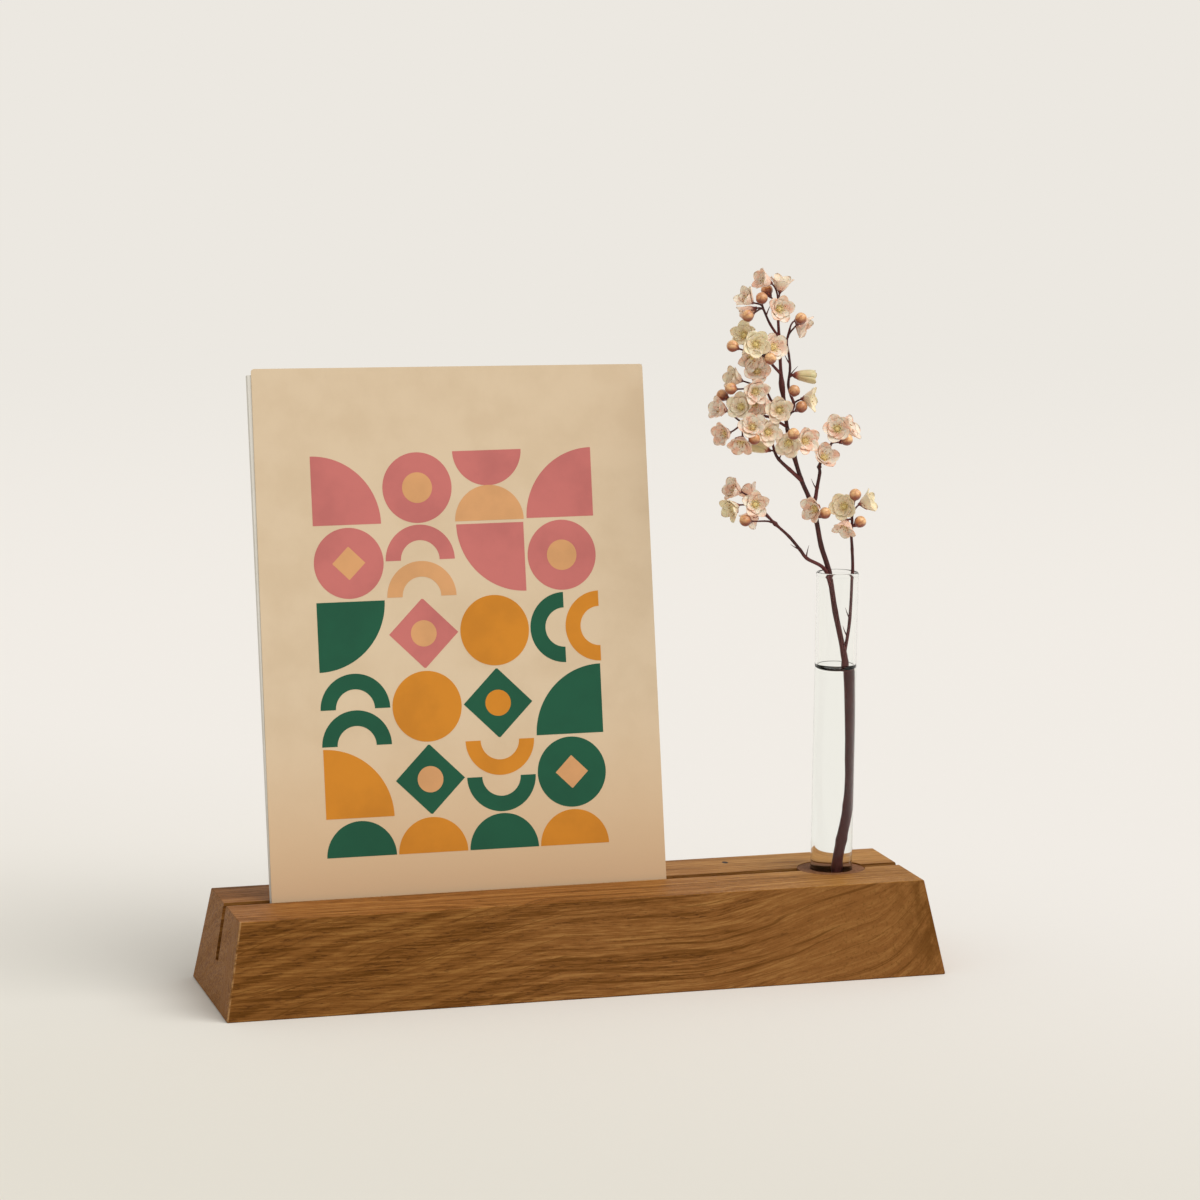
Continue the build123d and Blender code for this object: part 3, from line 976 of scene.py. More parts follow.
@dataclass(frozen=True)
class FleshFinish:
    """Small smooth plant parts, such as sepals and stamens."""

    name: str
    colour: Screen
    foot_tone_and_shade: Screen
    roughness: float = 0.35

    def material(self) -> bpy.types.Material:
        """Builds the finish on the piece's own height value and Object coordinates.

        The foot's colour goes over into the piece's own up to 0.45 of its height, shifted
        by its tone, and a mottle darkens it a little.

        Returns:
            The piece's material.
        """
        g = Graph.material(self.name)
        mottle = g.noise(g.place(), 1.3)
        foot = (g.value("along").span(0.45, 0.05) + (g.value("tone") - 0.5) * 0.4).clamped()
        colour = g.blend(foot, self.colour, self.foot_tone_and_shade)
        colour = colour.under(mottle.span(0.5, 0.8, 0.0, 0.35), darker(self.colour, 0.8))
        g.bump(mottle, 0.05, 0.4)
        return g.surface(Base_Color=colour, Roughness=self.roughness, Specular_IOR_Level=0.45)


# ---------------------------------------------------------------- block, cards and tube


def set_finish(piece: bpy.types.Object, material: bpy.types.Material) -> None:
    """Puts one material on every slot of a CAD node.

    Args:
        piece: The node's object.
        material: What it gets.
    """
    if not piece.data.materials:
        piece.data.materials.append(material)
    for index in range(len(piece.data.materials)):
        piece.data.materials[index] = material


def joint(frame: dict, name: str) -> dict:
    """The frame's row about a joint."""
    return next(j for j in frame["joints"] if j["name"] == name)


@dataclass
class Block:
    """The oak block, whose CAD shape is kept."""

    bevel_deg: float = 10.5
    oak: OakFinish = field(default_factory=OakFinish)

    def dress(self, frame: dict) -> None:
        """Gives the block its oak.
        """
        low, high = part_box("block")
        set_finish(frame["nodes"]["block"], self.oak.material(low, high, tan(radians(self.bevel_deg))))
        log.info("block: oak finish on the CAD shape")


class Motif(Enum):
    """The plain shapes that the print is made of."""

    DISC = "disc"
    HALF = "half disc"
    ARCH = "arch"
    DIAMOND = "diamond"
    QUARTER = "quarter disc"


@dataclass(frozen=True)
class Ink:
    """One colour of the print, with how far it stands off the paper."""

    name: str
    colour: Screen
    top: float


@dataclass(frozen=True)
class Mark:
    """One shape of the print: its ink, kind, cell column and row, turn, and size as a share of a cell."""

    ink: str
    motif: Motif
    column: float
    row: float
    turn_deg: float = 0.0
    size: float = 0.97


@dataclass
class CardStack:
    """The white board and the print that lean back in the slot."""

    cell: float = 0.0266
    columns: int = 4
    first_row: float = 0.0475
    ink_sunk: float = 0.02 * MM
    arc_points: int = 40
    arch_bore: float = 0.56
    quarter_size: float = 0.95
    board: SheetFinish = SheetFinish("white_board", (228, 224, 215), (222, 217, 206))
    # The paper's foot colour is painted shade and warm bounce light above the wood.
    paper: SheetFinish = SheetFinish(
        "beige_paper", (226, 203, 171), (220, 196, 163), foot_tone_and_shade=(222, 189, 150)
    )
    inks: tuple[Ink, ...] = (
        Ink("ink_pink", (206, 118, 112), 0.04 * MM),
        Ink("ink_green", (24, 88, 62), 0.045 * MM),
        Ink("ink_mustard", (216, 138, 36), 0.05 * MM),
        Ink("ink_peach", (224, 166, 112), 0.06 * MM),
    )

    def card_frame(self, frame: dict) -> LocalFrame:
        """Finds the print's front face.


        Returns:
            The frame whose origin is the middle of the print's bottom edge, on its face.
        """
        up = unit(np.array(joint(frame, "print_lift")["axis"], float))
        right = np.array([1.0, 0.0, 0.0])
        back = np.cross(up, right)
        corners = np.array([v.co for v in frame["nodes"]["front_print"].data.vertices])
        middle = (corners[:, 0].min() + corners[:, 0].max()) / 2
        origin = right * middle + back * (corners @ back).min() + up * (corners @ up).min()
        return LocalFrame(origin, right, back, up)

    def marks(self) -> list[Mark]:
        """Lays out the shapes of the print, cell by cell, from the top row down.

        Returns:
            Every mark of the print.
        """
        d, h, a, r, q = Motif.DISC, Motif.HALF, Motif.ARCH, Motif.DIAMOND, Motif.QUARTER
        pink, green, gold, peach = (ink.name for ink in self.inks)
        rows = (
            (pink, q, 0, 4, 0, 1), (pink, d, 1, 4), (peach, d, 1, 4, 0, 0.42), (pink, h, 2, 4.24, 180),
            (peach, h, 2, 3.76), (pink, q, 3, 4, 90, 1),
            (pink, d, 0, 3), (peach, r, 0, 3, 0, 0.46), (pink, a, 1, 3.25), (peach, a, 1, 2.75),
            (pink, q, 2, 3, 180, 1), (pink, d, 3, 3), (peach, d, 3, 3, 0, 0.42),
            (green, q, 0, 2, 270, 1), (pink, r, 1, 2), (peach, d, 1, 2, 0, 0.36), (gold, d, 2, 2),
            (green, a, 2.75, 2, 90), (gold, a, 3.25, 2, 90),
            (green, a, 0, 1.25), (green, a, 0, 0.75), (gold, d, 1, 1), (green, r, 2, 1),
            (gold, d, 2, 1, 0, 0.36), (green, q, 3, 1, 90, 1),
            (gold, q, 0, 0, 0, 1), (green, r, 1, 0), (peach, d, 1, 0, 0, 0.36), (gold, a, 2, 0.25, 180),
            (green, a, 2, -0.25, 180), (green, d, 3, 0), (peach, r, 3, 0, 0, 0.46),
            (green, h, 0, -0.76), (gold, h, 1, -0.76), (green, h, 2, -0.76), (gold, h, 3, -0.76),
        )
        return [Mark(*row) for row in rows]

    def outline(self, mark: Mark) -> tuple[np.ndarray, np.ndarray]:
        """Works out a mark as two rows of points that face each other.

        A disc, half disc or quarter disc runs along its arc with its other row on its
        mirrored arc or its chord; an arch has an outer and an inner arc; a diamond has
        two straight sides in each row.

        Args:
            mark: The shape, in cells.

        Returns:
            The two rows, in metres across and up the print.
        """
        share = np.linspace(0, 1, self.arc_points)
        a = (pi / 2 if mark.motif is Motif.QUARTER else pi) * share
        arc = np.stack([np.cos(a), np.sin(a)], -1)
        flat, mirrored, drop = np.array([1, 0]), np.array([1, -1]), np.array([0, 0.5])
        if mark.motif is Motif.DISC:
            first, second = arc, arc * mirrored
        elif mark.motif is Motif.HALF:
            first, second = arc - drop, arc * flat - drop
        elif mark.motif is Motif.ARCH:
            first, second = arc - drop, self.arch_bore * arc - drop
        elif mark.motif is Motif.QUARTER:
            first, second = (2 * arc - 1) * self.quarter_size, (2 * arc * flat - 1) * self.quarter_size
        else:
            first = np.stack([2 * share - 1, 1 - np.abs(2 * share - 1)], -1)
            second = first * mirrored
        turn = radians(mark.turn_deg)
        spin = np.array([[cos(turn), sin(turn)], [-sin(turn), cos(turn)]])
        half = self.cell * mark.size / 2
        across = (mark.column - (self.columns - 1) / 2) * self.cell
        centre = np.array([across, self.first_row + (mark.row + 0.5) * self.cell])
        return first @ spin * half + centre, second @ spin * half + centre

    def printed(self, place: LocalFrame, mark: Mark, top: float) -> Shape:
        """Raises a mark off the paper as a thin film.

        Args:
            place: The print's face.
            mark: The shape to raise.
            top: Height of the film above the paper.

        Returns:
            A closed shape that starts just inside the paper.
        """
        rows = np.stack(self.outline(mark))
        sheet = np.stack([rows[..., 0], np.full(rows.shape[:2], -top), rows[..., 1]], -1)
        return thin_shell(place.world(sheet), place.back * (top + self.ink_sunk))

    def dress(self, frame: dict) -> None:
        """Finishes the board and the print and lays the inks on it.
        """
        set_finish(frame["nodes"]["backing_board"], self.board.material())
        set_finish(frame["nodes"]["front_print"], self.paper.material())
        place = self.card_frame(frame)
        for ink in self.inks:
            films = [self.printed(place, mark, ink.top) for mark in self.marks() if mark.ink == ink.name]
            finish = SheetFinish(ink.name, ink.colour, darker(ink.colour, 0.94), 0.02, 0.6)
            piece = Shape.joined(films).to_object(ink.name, finish.material(), False)
            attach(piece, "print")
            log.info("%s: %d printed shapes", ink.name, len(films))
        log.info("board and print: sheet finishes on the CAD shapes")


@dataclass
class TubeHolder:
    """The brown bush, the glass tube and the water in it."""

    length: float = 0.130
    radius: float = 7.75 * MM
    wall: float = 1.0 * MM
    stand_out: float = 0.1116
    rim_height: float = 1.8 * MM
    rim_flare: float = 0.15 * MM
    rim_turn: float = 0.75
    water_below_rim: float = 37.0 * MM
    water_overlap: float = 0.03 * MM
    meniscus: float = 2.6 * MM
    meniscus_reach: float = 1.3 * MM
    level_crowding: float = 1.8
    wall_rings: int = 26
    bottom_rings: int = 20
    rim_rings: int = 12
    level_rings: int = 30
    sides: int = 112
    glass: ClearFinish = ClearFinish("tube_glass", (254, 255, 254), 1.5, 0.02)
    liquid: ClearFinish = ClearFinish("water", (254, 255, 255), 1.333, 0.0)

    def block_frame(self, frame: dict) -> LocalFrame:
        """Finds the tube's frame where its axis leaves the block's top.


        Returns:
            The frame of the joint that turns the tube.
        """
        turn = joint(frame, "tube_turn")
        up = unit(np.array(turn["axis"], float))
        back = np.array([0.0, 1.0, 0.0])
        return LocalFrame(np.array(turn["pos_m"], float), np.cross(back, up), back, up)

    def straight_wall(self, radius: float, high: float) -> np.ndarray:
        """Draws a straight wall up from the curved bottom, with its rings close together at both ends.

        The heights are low + (high - low) (1 - cos a) / 2 for a from 0 to pi, without its
        ends, so that the smooth shading of the wall isn't pulled by the curves there.

        Args:
            radius: Radius of the wall.
            high: Height where it ends.

        Returns:
            Rows of radius and height above the tube's bottom.
        """
        a = np.linspace(0, pi, self.wall_rings)[1:-1]
        heights = self.radius + (high - self.radius) * (1 - np.cos(a)) / 2
        return np.stack([np.full_like(heights, radius), heights], -1)

    def round_bottom(self, radius: float) -> np.ndarray:
        """Rows of radius and height on a quarter circle from the pole below to the straight wall."""
        a = np.linspace(-pi / 2, 0, self.bottom_rings)
        return np.stack([radius * np.cos(a), self.radius + radius * np.sin(a)], -1)

    def glass_profile(self) -> np.ndarray:
        """Draws the tube's wall from the outside bottom, over the rim, to the inside bottom.

        The bottom is a quarter circle on each face. The rim swells by the flare times
        sin^2 over its height, and its top is half a circle across the wall.

        Returns:
            Rows of radius and height above the tube's bottom.
        """
        inner, half_wall = self.radius - self.wall, self.wall / 2
        rim_foot = self.length - self.rim_height
        b = np.linspace(0, 1, self.rim_rings)
        swell = self.rim_flare * np.sin(pi * b * self.rim_turn) ** 2
        bead = np.stack([self.radius + swell, rim_foot + b * (self.rim_height - half_wall)], -1)
        c = np.linspace(0, pi, self.rim_rings)[1:]
        lip_half = (bead[-1, 0] - inner) / 2
        lip_height = self.length - half_wall + half_wall * np.sin(c)
        lip = np.stack([inner + lip_half * (1 + np.cos(c)), lip_height], -1)
        outside = [self.round_bottom(self.radius), self.straight_wall(self.radius, rim_foot)]
        inside = [self.straight_wall(inner, rim_foot)[::-1], self.round_bottom(inner)[::-1]]
        return np.concatenate([*outside, bead, lip, *inside])

    def water_profile(self) -> np.ndarray:
        """Draws the water from its bottom pole to the middle of its level surface.

        The surface climbs the wall by the meniscus height times
        exp(-distance from the wall / reach).

        Returns:
            Rows of radius and height above the tube's bottom.
        """
        outer = self.radius - self.wall + self.water_overlap
        level = self.length - self.water_below_rim
        r = outer * (1 - np.linspace(0, 1, self.level_rings) ** self.level_crowding)
        surface = np.stack([r, level + self.meniscus * np.exp((r - outer) / self.meniscus_reach)], -1)
        wall = self.straight_wall(outer, level + self.meniscus)
        return np.concatenate([self.round_bottom(outer), wall, surface])

    def dress(self, frame: dict) -> LocalFrame:
        """Makes the glass and the water and finishes the bush.


        Returns:
            The frame at the middle of the tube's mouth, which carries the sprig.
        """
        set_finish(frame["nodes"]["tube_bush"], BushFinish().material())
        at_block = self.block_frame(frame)
        bottom = at_block.raised(self.stand_out - self.length)
        glass = turned_profile(bottom, self.glass_profile(), self.sides)
        glass = glass.to_object("glass_wall", self.glass.material())
        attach(glass, "tube")
        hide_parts("glass_tube")
        water = turned_profile(bottom, self.water_profile(), self.sides)
        water = water.to_object("still_water", self.liquid.material())
        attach(water, "tube")
        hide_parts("water")
        log.info("glass tube and water: turned profiles; bush: finish on the CAD shape")
        return at_block.raised(self.stand_out)


# ---------------------------------------------------------------- sprig


# Places are shares of the sprig's height above and beside the middle of the tube's mouth.
# A stem has its root's and its tip's share of the root radius and the points it passes through.
STEMS: dict[str, tuple[float, float, list[Place]]] = {
    "main_stem": (1.0, 0.32, [
        (0.02, 0, -1.158), (0.015, 0, -1.01), (0.025, 0, -0.915), (0.04, 0, -0.795), (0.043, 0, -0.64),
        (0.035, 0, -0.345), (0.03, 0, -0.285), (-0.005, 0, -0.135), (-0.03, 0, 0), (-0.06, 0, 0.09),
        (-0.08, 0, 0.18), (-0.105, 0, 0.25), (-0.135, 0, 0.315), (-0.165, 0, 0.405), (-0.185, 0, 0.475),
        (-0.2, 0, 0.575), (-0.21, 0, 0.64), (-0.217, 0, 0.725), (-0.222, 0, 0.795), (-0.226, 0, 0.85),
        (-0.225, 0.005, 0.915),
    ]),
    "right_stem": (0.46, 0.32, [
        (0.03, 0, -0.285), (0.048, 0, -0.165), (0.0535, 0, -0.005), (0.05, 0, 0.075), (0.046, 0, 0.125),
        (0.048, 0, 0.17), (0.045, 0, 0.2),
    ]),
    "lower_left_branch": (0.5, 0.34, [
        (-0.019, 0, -0.06), (-0.05, -0.01, 0.012), (-0.115, -0.02, 0.05), (-0.14, -0.02, 0.08),
        (-0.18, -0.025, 0.125), (-0.225, -0.025, 0.165), (-0.262, -0.025, 0.2),
    ]),
    "left_branch": (0.55, 0.3, [
        (-0.132, 0, 0.31), (-0.18, -0.01, 0.35), (-0.22, -0.02, 0.385), (-0.235, -0.02, 0.41),
        (-0.245, -0.015, 0.45),
    ]),
    "right_branch": (0.55, 0.3, [
        (-0.093, 0, 0.22), (-0.08, 0.01, 0.25), (-0.075, 0.01, 0.285), (-0.07, 0, 0.335), (-0.07, 0, 0.365),
        (-0.04, -0.01, 0.425), (-0.025, -0.01, 0.45),
    ]),
    "upper_right_twig": (0.42, 0.26, [
        (-0.191, 0, 0.515), (-0.163, 0.01, 0.56), (-0.17, 0.02, 0.595), (-0.18, 0.02, 0.63),
        (-0.175, 0.02, 0.685), (-0.18, 0.02, 0.73), (-0.188, 0.02, 0.775), (-0.178, 0.02, 0.82),
    ]),
    "upper_left_twig": (0.36, 0.24, [
        (-0.222, 0, 0.79), (-0.255, -0.005, 0.835), (-0.277, -0.005, 0.88), (-0.292, 0, 0.92),
    ]),
    "shoulder_twig": (0.4, 0.28, [
        (-0.214, 0, 0.67), (-0.25, -0.01, 0.705), (-0.272, -0.015, 0.74),
    ]),
    "mid_left_twig": (0.36, 0.28, [
        (-0.194, 0, 0.54), (-0.24, 0, 0.575), (-0.265, -0.01, 0.61), (-0.305, -0.01, 0.64),
    ]),
    "left_twig": (0.36, 0.28, [
        (-0.186, 0, 0.49), (-0.25, -0.01, 0.525), (-0.295, -0.01, 0.53), (-0.34, -0.015, 0.515),
        (-0.36, -0.02, 0.5),
    ]),
}

# A group of flowers has its stem, and each flower its middle and the direction it faces.
FLOWERS: dict[str, tuple[str, list[tuple[Place, Place]]]] = {
    "crown_blossoms": ("main_stem", [
        ((-0.285, -0.01, 0.982), (-0.9, -0.2, 0.3)),
        ((-0.214, 0.01, 0.972), (0.1, -0.2, 1)),
        ((-0.235, -0.06, 0.89), (0.1, -1, 0.1)),
    ]),
    "upper_left_blossoms": ("upper_left_twig", [
        ((-0.35, -0.03, 0.925), (-0.8, -0.3, 0.5)),
        ((-0.325, 0.03, 0.87), (-0.8, 0.3, -0.5)),
    ]),
    "upper_right_blossoms": ("upper_right_twig", [
        ((-0.125, 0.035, 0.825), (0.7, -0.5, -0.5)),
    ]),
    "shoulder_blossoms": ("shoulder_twig", [
        ((-0.355, -0.025, 0.805), (-0.5, -0.8, 0.3)),
        ((-0.325, -0.085, 0.775), (-0.1, -1, 0)),
        ((-0.25, -0.06, 0.765), (0.3, -0.9, 0.2)),
        ((-0.3, 0.03, 0.72), (-0.7, -0.3, -0.5)),
    ]),
    "mid_left_blossoms": ("mid_left_twig", [
        ((-0.315, -0.06, 0.69), (-0.2, -0.9, 0.4)),
        ((-0.385, -0.025, 0.66), (-0.9, -0.2, 0.3)),
        ((-0.33, -0.11, 0.62), (0, -1, -0.1)),
        ((-0.305, 0.05, 0.585), (-0.8, 0.2, 0.3)),
    ]),
    "mid_right_blossoms": ("upper_right_twig", [
        ((-0.11, -0.02, 0.585), (0.85, -0.5, 0)),
    ]),
    "left_blossoms": ("left_twig", [
        ((-0.235, -0.06, 0.555), (-0.3, -0.95, 0.1)),
        ((-0.425, 0.01, 0.555), (-0.95, -0.2, 0.25)),
        ((-0.375, -0.065, 0.57), (-0.6, -0.7, 0.3)),
        ((-0.425, -0.04, 0.475), (-0.9, -0.4, -0.1)),
        ((-0.34, -0.1, 0.51), (-0.3, -0.8, 0.5)),
        ((-0.365, -0.05, 0.44), (-0.4, -0.6, -0.7)),
    ]),
    "left_branch_blossoms": ("left_branch", [
        ((-0.27, -0.065, 0.483), (0, -1, 0.1)),
    ]),
    "centre_blossoms": ("main_stem", [
        ((-0.2, -0.055, 0.44), (-0.4, -0.9, -0.2)),
        ((-0.13, -0.045, 0.45), (0.2, -1, 0.1)),
    ]),
    "right_blossoms": ("right_branch", [
        ((-0.03, -0.05, 0.49), (-0.4, -0.9, 0.2)),
        ((0.045, 0.015, 0.485), (0.7, -0.5, 0.5)),
        ((-0.063, -0.04, 0.4), (0.1, -0.8, 0.6)),
    ]),
    "lower_left_blossoms": ("lower_left_branch", [
        ((-0.37, 0.01, 0.285), (-0.9, -0.2, 0.3)),
        ((-0.39, -0.04, 0.225), (-0.85, -0.4, -0.3)),
        ((-0.315, -0.08, 0.245), (-0.1, -1, 0.2)),
        ((-0.3, 0.02, 0.185), (-0.5, 0.3, -0.8)),
        ((-0.298, 0.06, 0.265), (-0.4, 0.5, 0.75)),
    ]),
    "lower_centre_blossoms": ("main_stem", [
        ((-0.115, -0.06, 0.22), (-0.8, -0.5, -0.1)),
    ]),
    "lower_right_blossoms": ("right_stem", [
        ((0, -0.04, 0.225), (-0.6, -0.8, 0.1)),
        ((0.105, 0, 0.235), (0.8, -0.5, 0.3)),
        ((0.01, -0.035, 0.15), (-0.4, -0.5, -0.8)),
    ]),
    "mid_right_bells": ("upper_right_twig", [
        ((-0.12, 0.02, 0.66), (1, 0, -0.05)),
    ]),
    "left_branch_bells": ("left_branch", [
        ((-0.29, 0, 0.43), (-0.9, 0.15, 0.35)),
    ]),
}

BUDS: dict[str, tuple[str, list[Place]]] = {
    "crown_buds": ("main_stem", [(-0.255, 0.04, 0.945)]),
    "upper_left_buds": ("upper_left_twig", [(-0.35, -0.06, 0.868), (-0.3, -0.05, 0.925)]),
    "upper_right_buds": ("upper_right_twig", [(-0.155, -0.025, 0.855)]),
    "shoulder_buds": ("shoulder_twig", [(-0.405, -0.075, 0.77), (-0.285, -0.11, 0.73)]),
    "mid_left_buds": ("mid_left_twig", [(-0.41, -0.08, 0.63)]),
    "mid_right_buds": ("upper_right_twig", [(-0.175, -0.03, 0.615), (-0.152, -0.04, 0.562)]),
    "left_buds": ("left_twig", [(-0.32, -0.06, 0.46), (-0.4, 0.05, 0.595)]),
    "centre_buds": ("main_stem", [(-0.2, -0.11, 0.48)]),
    "right_buds": ("right_branch", [(0.01, -0.04, 0.45)]),
    "lower_left_buds": ("lower_left_branch", [(-0.35, -0.075, 0.19)]),
    "lower_centre_buds": ("main_stem", [(-0.058, -0.028, 0.203)]),
    "lower_right_buds": ("right_stem", [(0.03, -0.08, 0.27), (0.07, -0.02, 0.17)]),
}

# Half-hidden flowers that fill the crowded left side; they're too small to be solids of their own.
FILLING: dict[str, tuple[str, list[tuple[Place, Place]]]] = {
    "left_filling": ("left_twig", [
        ((-0.318, -0.03, 0.572), (-0.5, -0.8, -0.2)),
        ((-0.262, 0.0, 0.562), (-0.9, -0.2, 0.2)),
    ]),
    "shoulder_filling": ("shoulder_twig", [
        ((-0.335, -0.06, 0.722), (-0.4, -0.85, -0.3)),
    ]),
}

# Shares of a stem's length where a knot swells it.
KNOTS: dict[str, tuple[float, ...]] = {
    "main_stem": (0.665, 0.79), "lower_left_branch": (0.86,), "right_branch": (0.62,),
}

# Needles of a stem: the share of its points where each grows and the direction it points.
NEEDLES: dict[str, tuple[tuple[float, Place], ...]] = {
    "right_stem": ((0.09, (-0.55, -0.3, 1)), (0.17, (-0.5, -0.2, 1))),
    "main_stem": ((0.49, (-0.2, -0.4, 1)), (0.56, (-0.5, -0.2, 1))),
    "lower_left_branch": ((0.35, (0.1, -0.3, 1)), (0.5, (-0.9, -0.3, 0.5)), (0.86, (-1, -0.3, 0.35))),
    "right_branch": ((0.3, (-0.6, -0.2, 1)),),
    "upper_right_twig": ((0.5, (0.7, -0.2, 0.9)), (0.62, (-0.5, -0.2, 0.8))),
    "left_branch": ((0.5, (0.6, 0.3, 0.9)),),
    "upper_left_twig": ((0.55, (0.5, 0.3, 0.9)),),
}


@dataclass(frozen=True)
class Bloom:
    """One open flower, bell or bud: its group, stem, foot and direction."""

    node: str
    stem: str
    foot: np.ndarray
    direction: np.ndarray

    @property
    def closed(self) -> bool:
        """Whether it is a closed bell."""
        return self.node.endswith("_bells")

    def frame(self, spin: float) -> LocalFrame:
        """Finds the flower's own frame.

        Args:
            spin: How far the frame is turned about the flower's direction.

        Returns:
            The frame at its foot, with up along its direction.
        """
        side = unit(np.cross(self.direction, OFF_FLOWER))
        other = np.cross(self.direction, side)
        right = side * cos(spin) + other * sin(spin)
        return LocalFrame(self.foot, right, np.cross(self.direction, right), self.direction)


@dataclass(frozen=True)
class PetalCut:
    """A petal's length and half width, its leans from the flower's axis in degrees, its cup and its tip.

    The tip goes from 0 for a round one to 1 for a pointed one. A lining petal lies inside
    the flower, and both its sides have the colours of the inside.
    """

    length: float
    half_width: float
    foot_lean: float
    middle_lean: float
    tip_lean: float
    cup: float
    point: float = 0.0
    lining: bool = False

    def leaned(self, more: float) -> PetalCut:
        """The same petal, leaning out by some degrees more."""
        return replace(self, middle_lean=self.middle_lean + more, tip_lean=self.tip_lean + more)

    def lean(self, s: np.ndarray) -> np.ndarray:
        """The lean in radians: middle + (foot - middle) exp(-(s / 0.17)^2) + (tip - middle) s^3."""
        lean = self.middle_lean + (self.foot_lean - self.middle_lean) * np.exp(-((s / 0.17) ** 2))
        return np.radians(lean + (self.tip_lean - self.middle_lean) * s**3)

    def width(self, s: np.ndarray) -> np.ndarray:
        """The half width, (s + 0.12)^0.5 (1 - s^n)^m, scaled so that it is widest at half_width."""
        # From a round tip to a pointed one, n goes from 7 to 3.6 and m from 0.52 to 0.82.
        end = (1 - s ** (7 - 3.4 * self.point)) ** (0.52 + 0.3 * self.point)
        return self.half_width * np.maximum((s + 0.12) ** 0.5 * end / 0.86, 0.04)


